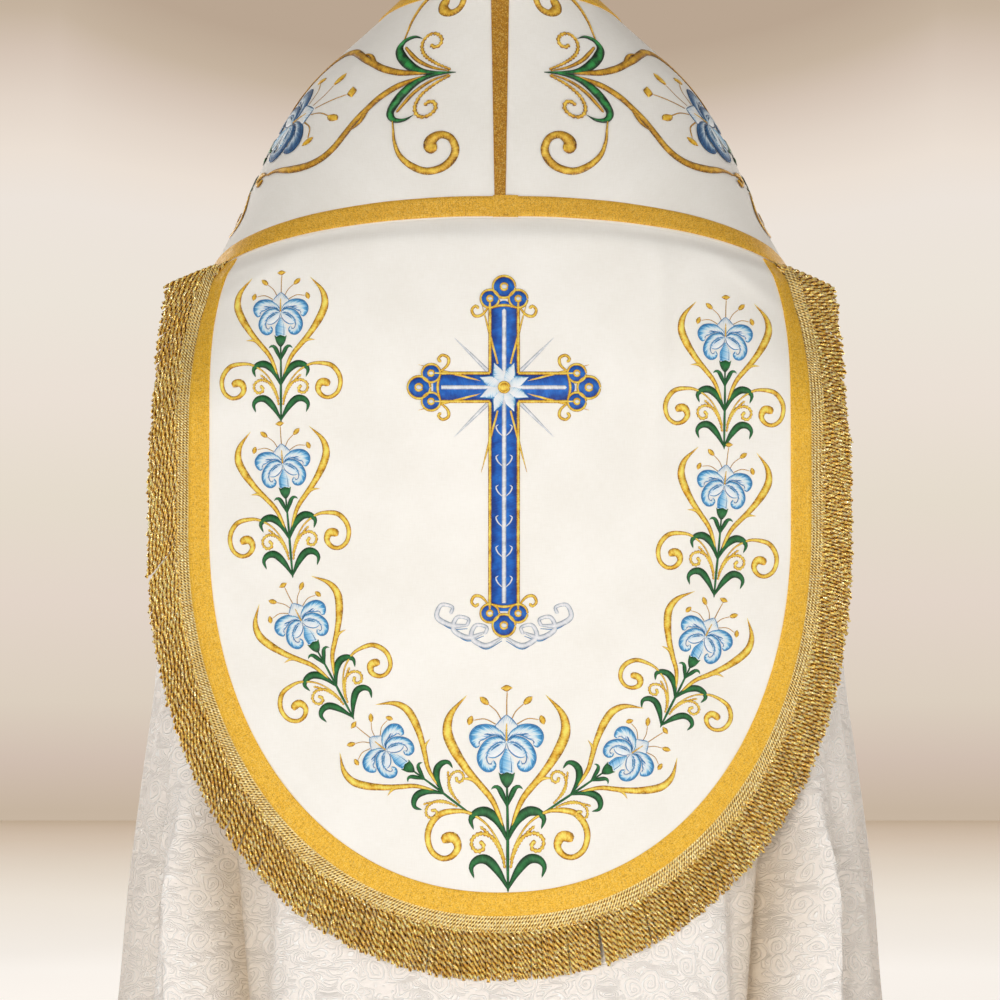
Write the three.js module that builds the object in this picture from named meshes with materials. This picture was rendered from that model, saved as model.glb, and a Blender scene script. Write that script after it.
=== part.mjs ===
// A cope: a semicircular ceremonial cloak, standing hollow as it does when it is worn.
// Millimetres, +Z up. The back of the cope faces -Y and the open front faces +Y.
// The origin is the middle of the neck opening, at the height of the nape, where the wearer bears it.
// Every cloth piece lies on one draped surface, given by an angle round the Z axis and a height:
// angle 0 is the centre back, 90 degrees the wearer's side at +X, and 180 degrees the centre front.

import * as THREE from 'three';

const DEGREE = Math.PI / 180;

// Driving dimensions.
const HEM_Z = -1430;
const SEAM_GAP = 0.3;
const BODY_WALL = 1.6;
const ORPHREY_WALL = 2.0;
const HOOD_WALL = 2.0;
const GALLOON_WALL = 1.0;
const GALLOON_WIDTH = 20;
const FRINGE_WALL = 1.8;
const FRINGE_HEADER = 15;
const FRINGE_SKIRT = 39;
// At the sides the fringe lies against the shoulders. Towards the hood's two corners it stands out more, over
// a number of the hood's columns: how far it turns from the back (degrees), and its blend towards straight down.
const FLARE = { columns: 5.5, sideTurn: 35, cornerTurn: 5, sideDrop: 0.5, cornerDrop: 0.36 };
const CENTRE_GALLOON = { top: 14.4, bottom: 8.6 };
const HOOD = {
  cornerX: 253,
  innerHalfWidth: 251,
  widestZ: -389,
  cornerNarrowing: 13,
  cornerRise: 114,
  curveStartZ: -493,
  innerBottomZ: -805,
  curvePower: 2.15,
  standOff: 12,
  backRadius: 640,
  settleLength: 140,
  letOut: 4,
  letOutLength: 16,
};
const CLASP = {
  x: 35,
  z: -242,
  clearance: 0.75,
  plateRadius: 13,
  plateWall: 1.8,
  plateBevel: { across: 2, deep: 0.7 },
  studRadius: 4.2,
  studHeight: 5.8,
  studBevel: { across: 1, deep: 0.6 },
  linkInner: 4.8,
  linkOuter: 7.8,
  linkWall: 2,
};

// Numbers of facets.
const BODY_COLUMNS = 96;
const BODY_ROWS = 13;
const HOOD_COLUMNS = 48;
const HOOD_ROWS = 6;
const STRANDS_PER_COLUMN = 4;
const RULING_SAMPLES = 32;

// How far to each side of a place its surface is read for the normal.
const READ_TURN = 0.4 * DEGREE;
const READ_STEP = 1.5;

// Heights of each layer above the draped surface.
const BODY_LAYER = [-BODY_WALL, 0];
const ORPHREY_LAYER = [-BODY_WALL, ORPHREY_WALL - BODY_WALL];
const TRIM_LAYER = [ORPHREY_LAYER[1] + SEAM_GAP, ORPHREY_LAYER[1] + SEAM_GAP + GALLOON_WALL];
const HOOD_LAYER = [SEAM_GAP * 2, SEAM_GAP * 2 + HOOD_WALL];
const HOOD_TRIM_LAYER = [HOOD_LAYER[1] + SEAM_GAP, HOOD_LAYER[1] + SEAM_GAP + GALLOON_WALL];
const FRINGE_LAYER = [SEAM_GAP * 2, SEAM_GAP * 2 + FRINGE_WALL];

// Level sections of the drape, from the neck to the hem: half width, depth to the back and to the front,
// and how square the oval is.
const SECTIONS = [
  { z: 0, width: 66, back: 66, front: 52, square: 2.0 },
  { z: -35, width: 103, back: 74, front: 62, square: 2.0 },
  { z: -84, width: 156, back: 92, front: 76, square: 2.05 },
  { z: -115, width: 182, back: 104, front: 84, square: 2.1 },
  { z: -161, width: 209, back: 121, front: 94, square: 2.2 },
  { z: -224, width: 237, back: 140, front: 107, square: 2.3 },
  { z: -267, width: 259, back: 149, front: 115, square: 2.35 },
  { z: -330, width: 277, back: 157, front: 122, square: 2.4 },
  { z: -410, width: 290, back: 162, front: 126, square: 2.45 },
  { z: -520, width: 299, back: 167, front: 130, square: 2.5 },
  { z: -636, width: 305, back: 172, front: 135, square: 2.5 },
  { z: -725, width: 315, back: 177, front: 139, square: 2.5 },
  { z: -820, width: 325, back: 183, front: 144, square: 2.5 },
  { z: -926, width: 332, back: 189, front: 150, square: 2.5 },
  { z: -1100, width: 350, back: 202, front: 162, square: 2.45 },
  { z: HEM_Z, width: 396, back: 232, front: 188, square: 2.4 },
];

// The orphrey band, half of it, from the centre back to the hem in front. Each row is one line across the band,
// from its inner edge at the neck or front opening to its outer edge.
const BAND = [
  { station: 0, innerAngle: 0, innerZ: 0, outerAngle: 0, outerZ: -228.5 },
  { station: 1, innerAngle: 40, innerZ: -6, outerAngle: 22, outerZ: -229.5 },
  { station: 2, innerAngle: 80, innerZ: -20, outerAngle: 44, outerZ: -234.7 },
  { station: 3, innerAngle: 105, innerZ: -38, outerAngle: 60, outerZ: -245 },
  { station: 4, innerAngle: 122, innerZ: -74, outerAngle: 73, outerZ: -260 },
  { station: 5, innerAngle: 139, innerZ: -126, outerAngle: 82, outerZ: -273 },
  { station: 6, innerAngle: 156, innerZ: -189, outerAngle: 88.5, outerZ: -290 },
  { station: 7, innerAngle: 168, innerZ: -250, outerAngle: 93, outerZ: -322 },
  { station: 8, innerAngle: 169.4, innerZ: -335, outerAngle: 96, outerZ: -370 },
  { station: 9, innerAngle: 169.8, innerZ: -430, outerAngle: 98, outerZ: -430 },
  { station: 10, innerAngle: 169.9, innerZ: -560, outerAngle: 100, outerZ: -560 },
  { station: 11, innerAngle: 169.8, innerZ: -700, outerAngle: 101.8, outerZ: -700 },
  { station: 12, innerAngle: 169.7, innerZ: -900, outerAngle: 104.3, outerZ: -900 },
  { station: 13, innerAngle: 169.4, innerZ: -1160, outerAngle: 107.8, outerZ: -1160 },
  { station: 14, innerAngle: 169.2, innerZ: HEM_Z, outerAngle: 111.5, outerZ: HEM_Z },
];
const BODY_CORNER = { angle: 98, z: -430 };
const BAND_STATIONS = [
  0.5, 1, 1.5, 2, 2.5, 3, 3.5, 4, 4.5, 5, 5.5, 6, 6.5, 7, 7.5, 8, 8.5, 9, 10, 11, 12, 12.6, 13.3, 14,
];

// The body's folds, half of them: where each lies between the centre back (0) and the front seam (1) at
// FOLD_LEVEL, how far it leans over a metre's drop, its half width in that measure, how far it stands out
// at the hem, and the height where it begins.
const FOLD_LEVEL = -770;
const FOLDS = [
  { across: 0.0, lean: 0, half: 0.07, height: 10, start: -900 },
  { across: 0.115, lean: 0, half: 0.085, height: -22, start: -860 },
  { across: 0.225, lean: 0, half: 0.075, height: 16, start: -880 },
  { across: 0.34, lean: -0.02, half: 0.085, height: -26, start: -860 },
  { across: 0.505, lean: -0.1, half: 0.062, height: 16, start: -620 },
  { across: 0.607, lean: -0.16, half: 0.066, height: -58, start: -500 },
  { across: 0.651, lean: -0.04, half: 0.043, height: 34, start: -540 },
  { across: 0.694, lean: 0, half: 0.032, height: -30, start: -480 },
  { across: 0.75, lean: 0, half: 0.053, height: 26, start: -420 },
  { across: 0.825, lean: 0, half: 0.052, height: -52, start: -400 },
  { across: 0.887, lean: 0, half: 0.045, height: 34, start: -430 },
  { across: 0.942, lean: 0, half: 0.04, height: -34, start: -450 },
];
// The folds on the wearer's left, at -X, are a little shallower and lie nearer the front.
const LEFT_SIDE = { shift: 0.006, share: 0.93 };
const SEAM_CALM = 0.1;

const mix = (a, b, share) => a + (b - a) * share;
const clamp = (value, low, high) => Math.min(high, Math.max(low, value));

function smoothStep(value) {
  const t = clamp(value, 0, 1);
  return t * t * (3 - 2 * t);
}

// The value of one column of a table on a smooth curve through its rows.
function readTable(table, key, at, column) {
  const rising = table[1][key] > table[0][key];
  let k = 0;
  while (k < table.length - 2 && (rising ? at > table[k + 1][key] : at < table[k + 1][key])) k += 1;
  const row = (n) => table[clamp(n, 0, table.length - 1)];
  const slope = (n) => {
    const before = row(n - 1);
    const after = row(n + 1);
    return (after[column] - before[column]) / (after[key] - before[key]);
  };
  const [from, to] = [row(k), row(k + 1)];
  const span = to[key] - from[key];
  const t = clamp((at - from[key]) / span, 0, 1);
  const [t2, t3] = [t * t, t * t * t];
  return (2 * t3 - 3 * t2 + 1) * from[column] + (t3 - 2 * t2 + t) * span * slope(k)
    + (3 * t2 - 2 * t3) * to[column] + (t3 - t2) * span * slope(k + 1);
}

function sectionAt(z) {
  const read = (column) => readTable(SECTIONS, 'z', z, column);
  return { width: read('width'), back: read('back'), front: read('front'), square: read('square') };
}

function drapeRadius(angle, z) {
  const { width, back, front, square } = sectionAt(z);
  const [sine, cosine] = [Math.sin(angle), Math.cos(angle)];
  const depth = cosine > 0 ? back : front;
  return ((Math.abs(sine) / width) ** square + (Math.abs(cosine) / depth) ** square) ** (-1 / square);
}

function pointAt(angle, z, radius) {
  return new THREE.Vector3(Math.sin(angle) * radius, -Math.cos(angle) * radius, z);
}

// A point of a surface and its outward normal, from the surface's own radius.
function samplePolar(radiusAt, angle, z) {
  const at = (a, h) => pointAt(a, h, radiusAt(a, h));
  const across = at(angle + READ_TURN, z).sub(at(angle - READ_TURN, z));
  const up = at(angle, Math.min(z + READ_STEP, 0)).sub(at(angle, Math.max(z - READ_STEP, HEM_Z)));
  return { point: at(angle, z), normal: across.cross(up).normalize() };
}

const drapeSample = (angle, z) => samplePolar(drapeRadius, angle, z);

// A closed wall between two layers of a grid of samples, grid[column][row], with columns running
// towards +X at the back and rows running down.
function wall(grid, [inner, outer]) {
  const positions = [];
  const place = ({ point, normal }, height) => point.clone().addScaledVector(normal, height);
  const outside = grid.map((column) => column.map((sample) => place(sample, outer)));
  const inside = grid.map((column) => column.map((sample) => place(sample, inner)));
  const triangle = (a, b, c) => {
    if (a.distanceTo(b) < 1e-4 || b.distanceTo(c) < 1e-4 || c.distanceTo(a) < 1e-4) return;
    for (const p of [a, b, c]) positions.push(p.x, p.y, p.z);
  };
  const quad = (a, b, c, d) => {
    triangle(a, b, c);
    triangle(a, c, d);
  };
  const [columns, rows] = [grid.length - 1, grid[0].length - 1];
  for (let i = 0; i < columns; i += 1) {
    for (let j = 0; j < rows; j += 1) {
      quad(outside[i][j], outside[i][j + 1], outside[i + 1][j + 1], outside[i + 1][j]);
      quad(inside[i][j], inside[i + 1][j], inside[i + 1][j + 1], inside[i][j + 1]);
    }
    quad(outside[i][0], outside[i + 1][0], inside[i + 1][0], inside[i][0]);
    quad(outside[i][rows], inside[i][rows], inside[i + 1][rows], outside[i + 1][rows]);
  }
  for (let j = 0; j < rows; j += 1) {
    quad(outside[0][j], inside[0][j], inside[0][j + 1], outside[0][j + 1]);
    quad(outside[columns][j], outside[columns][j + 1], inside[columns][j + 1], inside[columns][j]);
  }
  const geometry = new THREE.BufferGeometry();
  geometry.setAttribute('position', new THREE.Float32BufferAttribute(positions, 3));
  return geometry;
}

const mirrorSample = ({ point, normal, ...rest }) => ({
  ...rest,
  point: new THREE.Vector3(-point.x, point.y, point.z),
  normal: new THREE.Vector3(-normal.x, normal.y, normal.z),
});

const mixSample = (from, to, share) => ({
  point: from.point.clone().lerp(to.point, share),
  normal: from.normal.clone().lerp(to.normal, share).normalize(),
});

// Places across the band, in millimetres from its inner edge: the two galloons and the cloth between them.
function bandDistances(length) {
  const cloth = [0.2, 0.4, 0.6, 0.8].map((share) => mix(GALLOON_WIDTH, length - GALLOON_WIDTH, share));
  return [0, GALLOON_WIDTH, ...cloth, length - GALLOON_WIDTH, length];
}
const INNER_TRIM_ROWS = [0, 1];
const OUTER_TRIM_ROWS = [6, 7];

// One line across the right half of the band, as { angle, z } at each of the band's distances.
function bandLine(station) {
  const read = (column) => readTable(BAND, 'station', station, column);
  const [a0, z0] = [read('innerAngle') * DEGREE, read('innerZ')];
  const [a1, z1] = [read('outerAngle') * DEGREE, read('outerZ')];
  const at = (share) => ({ angle: mix(a0, a1, share), z: mix(z0, z1, share) });
  const run = [0];
  let before = null;
  for (let k = 0; k <= RULING_SAMPLES; k += 1) {
    const { angle, z } = at(k / RULING_SAMPLES);
    const here = pointAt(angle, z, drapeRadius(angle, z));
    if (before) run.push(run[k - 1] + here.distanceTo(before));
    before = here;
  }
  return bandDistances(run[RULING_SAMPLES]).map((distance) => {
    let k = 0;
    while (k < RULING_SAMPLES - 1 && run[k + 1] < distance) k += 1;
    return at((k + clamp((distance - run[k]) / (run[k + 1] - run[k]), 0, 1)) / RULING_SAMPLES);
  });
}

// The right half of the band. Its first two columns lie beside the centre seam and at the edge of the
// galloon that covers the seam.
function bandColumns() {
  const centre = bandLine(0);
  const beside = (offsetAt) => centre.map(({ z }, row) => {
    const angle = Math.asin(offsetAt(row / (centre.length - 1)) / drapeRadius(0, z));
    return { angle, z, ...drapeSample(angle, z) };
  });
  const seam = beside(() => SEAM_GAP / 2);
  const trimEdge = beside((share) => mix(CENTRE_GALLOON.top, CENTRE_GALLOON.bottom, share) / 2);
  const stations = BAND_STATIONS.map((station) => bandLine(station).map(({ angle, z }) => ({
    angle, z, ...drapeSample(angle, z),
  })));
  return [seam, trimEdge, ...stations];
}

const rightBand = bandColumns();
const leftBand = rightBand.map((column) => column.map(mirrorSample)).reverse();

// The middle column of what crosses the centre seam in one piece.
const centreColumn = rightBand[0].map(({ point, normal }) => ({
  point: new THREE.Vector3(0, point.y, point.z),
  normal: new THREE.Vector3(0, normal.y, normal.z).normalize(),
}));
const wholeBand = [...leftBand.slice(0, -1), centreColumn, ...rightBand.slice(1)];
const bandRows = (rows) => wholeBand.map((column) => rows.map((row) => column[row]));

// The galloon over the centre back seam, from the neck galloon down to the outer one.
function centreGalloonGrid() {
  const [first, last] = [INNER_TRIM_ROWS[1], OUTER_TRIM_ROWS[0]];
  const columns = [leftBand[leftBand.length - 2], centreColumn, rightBand[1]];
  return columns.map((column) => {
    const rows = column.slice(first, last + 1);
    const end = rows.length - 1;
    const inset = SEAM_GAP / rows[0].point.distanceTo(rows[1].point);
    const top = mixSample(rows[0], rows[1], inset);
    const bottom = mixSample(rows[end], rows[end - 1], inset);
    return [top, ...rows.slice(1, end), bottom];
  });
}

// The outer edge of the band, where the body and the hood join it.
const seamEdge = rightBand.map((column) => column[column.length - 1]);

// The place on the outer edge where one measure reaches a value, moved off the seam by the seam gap.
function alongSeam(measure, value) {
  const last = seamEdge.length - 2;
  const start = measure(seamEdge[0]);
  const goal = measure(seamEdge[2]) > start ? Math.max(value, start) : Math.min(value, start);
  let k = 0;
  while (k < last && (measure(seamEdge[k + 1]) - goal) * (measure(seamEdge[k]) - goal) > 0) k += 1;
  const [from, to] = [seamEdge[k], seamEdge[k + 1]];
  const share = clamp((goal - measure(from)) / (measure(to) - measure(from)), 0, 1);
  const sample = mixSample(from, to, share);
  const along = to.point.clone().sub(from.point).normalize();
  const away = along.cross(sample.normal).normalize();
  sample.point.addScaledVector(away, SEAM_GAP);
  return { ...sample, angle: mix(from.angle, to.angle, share), z: mix(from.z, to.z, share) };
}

// The angle of the body's front seam at a height.
function frontAngle(z) {
  return z > BODY_CORNER.z ? BODY_CORNER.angle * DEGREE : alongSeam((s) => s.z, z).angle;
}

function foldHeight(across, z) {
  const left = across < 0;
  const place = Math.abs(across);
  const calm = smoothStep((1 - place) / SEAM_CALM);
  let height = 0;
  for (const fold of FOLDS) {
    const shift = fold.across > 0 && left ? LEFT_SIDE.shift : 0;
    const centre = fold.across + shift + fold.lean * (FOLD_LEVEL - z) / 1000;
    const offset = (place - centre) / fold.half;
    if (Math.abs(offset) < 1 && z < fold.start) {
      const bell = Math.cos(offset * Math.PI / 2) ** 2;
      height += fold.height * bell * (fold.start - z) / (fold.start - HEM_Z);
    }
  }
  return height * calm * (left ? LEFT_SIDE.share : 1);
}

function bodyGrid() {
  const radiusAt = (angle, z) => drapeRadius(angle, z) + foldHeight(angle / frontAngle(z), z);
  const grid = [];
  for (let i = 0; i <= BODY_COLUMNS; i += 1) {
    const u = -1 + 2 * i / BODY_COLUMNS;
    const top = alongSeam((s) => s.angle, Math.abs(u) * BODY_CORNER.angle * DEGREE);
    const column = [u < 0 ? mirrorSample(top) : top];
    for (let j = 1; j <= BODY_ROWS; j += 1) {
      const z = mix(top.z, HEM_Z, j / BODY_ROWS);
      if (Math.abs(u) === 1) {
        const side = alongSeam((s) => s.z, z);
        column.push(u < 0 ? mirrorSample(side) : side);
      } else {
        column.push(samplePolar(radiusAt, u * frontAngle(z), z));
      }
    }
    grid.push(column);
  }
  return grid;
}

// How deep the back of the drape is at a place across it, for a drape that is let out all round.
function backDepth(x, z, letOut) {
  const { width, back, square } = sectionAt(z);
  const across = Math.min(Math.abs(x) / (width + letOut), 0.995);
  return (back + letOut) * (1 - across ** square) ** (1 / square);
}

// The hood hangs from the seam. It leaves the seam along the shoulders, and settles on a shallow barrel
// that stands off the back.
function hoodPoint(x, z) {
  const reach = Math.min(Math.abs(x), HOOD.cornerX);
  const top = alongSeam((s) => s.point.x, reach).point;
  const drop = top.z - z;
  const letOut = HOOD.letOut * smoothStep(drop / HOOD.letOutLength);
  const seamMismatch = top.y + backDepth(reach, top.z, 0);
  const shoulder = seamMismatch - backDepth(x, z, letOut);
  const settled = smoothStep(drop / HOOD.settleLength);
  const barrel = -(sectionAt(z).back + HOOD.standOff - x * x / (2 * HOOD.backRadius));
  return new THREE.Vector3(x, mix(shoulder, barrel, settled), z);
}

function hoodSample(x, z) {
  const across = hoodPoint(x + READ_STEP, z).sub(hoodPoint(x - READ_STEP, z));
  const up = hoodPoint(x, z + READ_STEP).sub(hoodPoint(x, z - READ_STEP));
  return { point: hoodPoint(x, z), normal: across.cross(up).normalize() };
}

// Half the hood's width at a height, to the inner edge of its galloon.
function hoodHalfWidth(z) {
  if (z > HOOD.widestZ) {
    return HOOD.innerHalfWidth - HOOD.cornerNarrowing * ((z - HOOD.widestZ) / HOOD.cornerRise) ** 3;
  }
  const drop = clamp((HOOD.curveStartZ - z) / (HOOD.curveStartZ - HOOD.innerBottomZ), 0, 1);
  return HOOD.innerHalfWidth * (1 - drop ** HOOD.curvePower) ** (1 / HOOD.curvePower);
}

// The inner edge of the hood's galloon, from the left corner round the bottom to the right one, as evenly
// spaced points with their outward directions.
function hoodOutline(columns) {
  const steps = 400;
  let cornerZ = HOOD.widestZ + HOOD.cornerRise;
  for (let k = 0; k < 8; k += 1) cornerZ = alongSeam((s) => s.point.x, hoodHalfWidth(cornerZ)).point.z;
  const half = [];
  for (let k = 0; k <= steps; k += 1) {
    const turn = k / steps * Math.PI / 2;
    half.push({ turn, z: mix(cornerZ, HOOD.innerBottomZ, Math.sin(turn)) });
  }
  const points = half.map(({ z }) => new THREE.Vector2(hoodHalfWidth(z), z));
  const fine = [...points.map((p) => new THREE.Vector2(-p.x, p.y)), ...points.slice(0, -1).reverse()];
  const run = [0];
  for (let k = 1; k < fine.length; k += 1) run.push(run[k - 1] + fine[k].distanceTo(fine[k - 1]));
  const at = (distance) => {
    let k = 0;
    while (k < fine.length - 2 && run[k + 1] < distance) k += 1;
    return fine[k].clone().lerp(fine[k + 1], (distance - run[k]) / (run[k + 1] - run[k]));
  };
  const total = run[run.length - 1];
  return Array.from({ length: columns + 1 }, (_, i) => {
    const distance = total * i / columns;
    const place = at(distance);
    const along = at(Math.min(distance + 2, total)).sub(at(Math.max(distance - 2, 0))).normalize();
    return { place, outward: new THREE.Vector2(along.y, -along.x) };
  });
}

// The slope of the hood's surface across it, which narrows what is laid out on it as seen from behind.
function acrossFactor({ normal }) {
  return Math.max(0.55, Math.abs(normal.y) / Math.hypot(normal.x, normal.y));
}

function hoodGrid() {
  const outline = hoodOutline(HOOD_COLUMNS);
  const cornerX = outline[HOOD_COLUMNS].place.x;
  return outline.map(({ place, outward }, i) => {
    const x = mix(-cornerX, cornerX, i / HOOD_COLUMNS);
    const top = alongSeam((s) => s.point.x, Math.abs(x)).point;
    const column = [];
    for (let j = 0; j <= HOOD_ROWS; j += 1) {
      const share = j / HOOD_ROWS;
      column.push(hoodSample(mix(x, place.x, share), mix(top.z, place.y, share)));
    }
    const halfWay = GALLOON_WIDTH / 2;
    const narrow = acrossFactor(hoodSample(place.x + outward.x * halfWay, place.y + outward.y * halfWay));
    const edgeX = place.x + outward.x * GALLOON_WIDTH * narrow;
    const edgeZ = place.y + outward.y * GALLOON_WIDTH;
    const ceiling = alongSeam((s) => s.point.x, Math.min(Math.abs(edgeX), HOOD.cornerX)).point.z;
    column.push(hoodSample(edgeX, Math.min(edgeZ, ceiling)));
    return column;
  });
}

const hood = hoodGrid();
const hoodRing = hood.map((column) => column.slice(HOOD_ROWS));

// The fringe: a header along the hood's edge, and strands that leave it between square to the edge and
// straight down. Each strand and the gap after it share one stretch of the header.
function fringeGeometry() {
  const positions = [];
  const triangle = (a, b, c) => {
    for (const p of [a, b, c]) positions.push(p.x, p.y, p.z);
  };
  const quad = (a, b, c, d) => {
    triangle(a, b, c);
    triangle(a, c, d);
  };
  const strandShare = 0.62;
  const tipShare = 0.8;
  // The edge of the hood, and there the ways out of it and down the strands.
  const edge = (place) => {
    const k = clamp(Math.floor(place), 0, HOOD_COLUMNS - 1);
    const [from, to] = [hoodRing[k], hoodRing[k + 1]];
    const { point, normal } = mixSample(from[1], to[1], place - k);
    const outward = point.clone().sub(mixSample(from[0], to[0], place - k).point).normalize();
    const corner = 1 - smoothStep(Math.min(place, HOOD_COLUMNS - place) / FLARE.columns);
    const steepest = Math.tan(mix(FLARE.sideTurn, FLARE.cornerTurn, corner) * DEGREE);
    outward.y = clamp(outward.y, -steepest, steepest);
    outward.normalize();
    const down = new THREE.Vector3(0, 0, -1);
    const strand = outward.clone().lerp(down, mix(FLARE.sideDrop, FLARE.cornerDrop, corner)).normalize();
    return { point: point.clone().addScaledVector(outward, SEAM_GAP), normal, outward, strand };
  };
  const layers = (base, normal) => FRINGE_LAYER.map((height) => base.clone().addScaledVector(normal, height));
  const section = (place) => {
    const { point, normal, outward, strand } = edge(place);
    const root = point.clone().addScaledVector(outward, FRINGE_HEADER);
    return {
      edge: layers(point, normal),
      root: layers(root, normal),
      tipCentre: root.clone().addScaledVector(strand, FRINGE_SKIRT),
      rootCentre: root,
      normal,
    };
  };
  const faceHeader = (a, b) => {
    quad(a.edge[1], a.root[1], b.root[1], b.edge[1]);
    quad(a.edge[0], b.edge[0], b.root[0], a.root[0]);
    quad(a.edge[1], b.edge[1], b.edge[0], a.edge[0]);
  };
  const count = HOOD_COLUMNS * STRANDS_PER_COLUMN;
  const pitch = 1 / STRANDS_PER_COLUMN;
  const sections = [];
  for (let k = 0; k < count; k += 1) {
    sections.push(section(k * pitch));
    sections.push(section((k + strandShare) * pitch));
  }
  for (let k = 0; k < count; k += 1) {
    const [a, b] = [sections[2 * k], sections[2 * k + 1]];
    faceHeader(a, b);
    const middle = a.tipCentre.clone().lerp(b.tipCentre, 0.5);
    const halfSpan = b.rootCentre.clone().sub(a.rootCentre).multiplyScalar(tipShare / 2);
    const tipA = layers(middle.clone().sub(halfSpan), a.normal);
    const tipB = layers(middle.clone().add(halfSpan), b.normal);
    quad(a.root[1], tipA[1], tipB[1], b.root[1]);
    quad(a.root[0], b.root[0], tipB[0], tipA[0]);
    quad(a.root[1], a.root[0], tipA[0], tipA[1]);
    quad(b.root[1], tipB[1], tipB[0], b.root[0]);
    quad(tipA[1], tipA[0], tipB[0], tipB[1]);
    if (k < count - 1) {
      const next = sections[2 * k + 2];
      faceHeader(b, next);
      quad(b.root[1], b.root[0], next.root[0], next.root[1]);
    }
  }
  const [first, last] = [sections[0], sections[2 * count - 1]];
  quad(first.edge[1], first.edge[0], first.root[0], first.root[1]);
  quad(last.edge[1], last.root[1], last.root[0], last.edge[0]);
  const geometry = new THREE.BufferGeometry();
  geometry.setAttribute('position', new THREE.Float32BufferAttribute(positions, 3));
  return geometry;
}

// The clasp at the chest: a round plate with a stud on each front edge, and a long link over both studs.
const claspAngle = Math.PI - Math.atan2(CLASP.x, sectionAt(CLASP.z).front);
const claspSeat = drapeSample(claspAngle, CLASP.z);
const claspTilt = Math.atan2(claspSeat.normal.z, claspSeat.normal.y);
const CLASP_LIFT = TRIM_LAYER[1] + CLASP.clearance;

function claspPlace(x, lift) {
  const outward = new THREE.Vector3(0, Math.cos(claspTilt), Math.sin(claspTilt));
  return new THREE.Vector3(x, claspSeat.point.y, CLASP.z).addScaledVector(outward, CLASP_LIFT + lift);
}

function claspPlateGeometry() {
  const { plateRadius, plateWall, plateBevel, studRadius, studHeight, studBevel } = CLASP;
  const profile = [
    [0, 0], [plateRadius, 0], [plateRadius, plateWall - plateBevel.deep],
    [plateRadius - plateBevel.across, plateWall], [studRadius, plateWall],
    [studRadius, studHeight - studBevel.deep], [studRadius - studBevel.across, studHeight], [0, studHeight],
  ];
  return new THREE.LatheGeometry(profile.map(([r, h]) => new THREE.Vector2(r, h)), 24);
}

function claspLinkGeometry() {
  const capsule = (path, radius) => {
    path.absarc(CLASP.x, 0, radius, -Math.PI / 2, Math.PI / 2, false);
    path.absarc(-CLASP.x, 0, radius, Math.PI / 2, Math.PI * 1.5, false);
    return path;
  };
  const shape = capsule(new THREE.Shape(), CLASP.linkOuter);
  shape.holes.push(capsule(new THREE.Path(), CLASP.linkInner));
  return new THREE.ExtrudeGeometry(shape, { depth: CLASP.linkWall, bevelEnabled: false, curveSegments: 10 });
}

const cloth = (colour) => new THREE.MeshStandardMaterial({ color: colour, roughness: 0.75, metalness: 0 });
const materials = {
  damask: cloth(0xeee5dc),
  ivory: cloth(0xefe9e2),
  galloon: new THREE.MeshStandardMaterial({ color: 0xdfae3d, roughness: 0.45, metalness: 0.6 }),
  fringe: new THREE.MeshStandardMaterial({ color: 0xb8924f, roughness: 0.4, metalness: 0.7 }),
  brass: new THREE.MeshStandardMaterial({ color: 0xc9a24a, roughness: 0.3, metalness: 1 }),
};

const cope = new THREE.Group();

function add(name, geometry, material) {
  const mesh = new THREE.Mesh(geometry, material);
  mesh.name = name;
  cope.add(mesh);
  return mesh;
}

add('body', wall(bodyGrid(), BODY_LAYER), materials.damask);
add('orphrey_left', wall(leftBand, ORPHREY_LAYER), materials.ivory);
add('orphrey_right', wall(rightBand, ORPHREY_LAYER), materials.ivory);
add('galloon_neck_and_fronts', wall(bandRows(INNER_TRIM_ROWS), TRIM_LAYER), materials.galloon);
add('galloon_outer', wall(bandRows(OUTER_TRIM_ROWS), TRIM_LAYER), materials.galloon);
add('galloon_centre_back', wall(centreGalloonGrid(), TRIM_LAYER), materials.galloon);
add('hood', wall(hood, HOOD_LAYER), materials.ivory);
add('galloon_hood', wall(hoodRing, HOOD_TRIM_LAYER), materials.galloon);
add('fringe_hood', fringeGeometry(), materials.fringe);

const plateSides = { clasp_plate_left: -CLASP.x, clasp_plate_right: CLASP.x };
for (const [name, x] of Object.entries(plateSides)) {
  const plate = add(name, claspPlateGeometry(), materials.brass);
  plate.position.copy(claspPlace(x, 0));
  plate.rotation.x = claspTilt;
}
const link = add('clasp_link', claspLinkGeometry(), materials.brass);
link.position.copy(claspPlace(0, CLASP.plateWall + SEAM_GAP));
link.rotation.x = claspTilt - Math.PI / 2;

export default cope;
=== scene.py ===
import math
import random

import bpy
import numpy as np
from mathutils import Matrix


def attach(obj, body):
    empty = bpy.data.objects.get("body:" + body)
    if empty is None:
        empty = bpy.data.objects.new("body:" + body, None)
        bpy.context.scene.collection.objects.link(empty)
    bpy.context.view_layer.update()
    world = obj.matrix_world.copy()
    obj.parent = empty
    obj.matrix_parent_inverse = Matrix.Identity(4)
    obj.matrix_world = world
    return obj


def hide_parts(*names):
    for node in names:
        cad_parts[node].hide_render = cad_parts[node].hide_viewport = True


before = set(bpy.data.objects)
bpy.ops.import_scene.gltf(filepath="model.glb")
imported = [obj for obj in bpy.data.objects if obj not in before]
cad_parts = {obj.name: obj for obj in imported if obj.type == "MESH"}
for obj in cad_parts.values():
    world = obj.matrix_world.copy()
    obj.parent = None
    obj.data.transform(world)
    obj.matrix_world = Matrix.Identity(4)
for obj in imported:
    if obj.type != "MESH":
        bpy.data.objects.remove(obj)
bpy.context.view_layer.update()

# The looks of a cope: an ivory damask cloak with embroidered orphreys, a shield hood, gold galloon and a
# bullion fringe. Tables and functions of shape are in millimetres, and MM brings them to metres.
MM = 0.001
HEM_Z = -1430.0
GALLOON_WIDTH = 20.0
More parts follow.
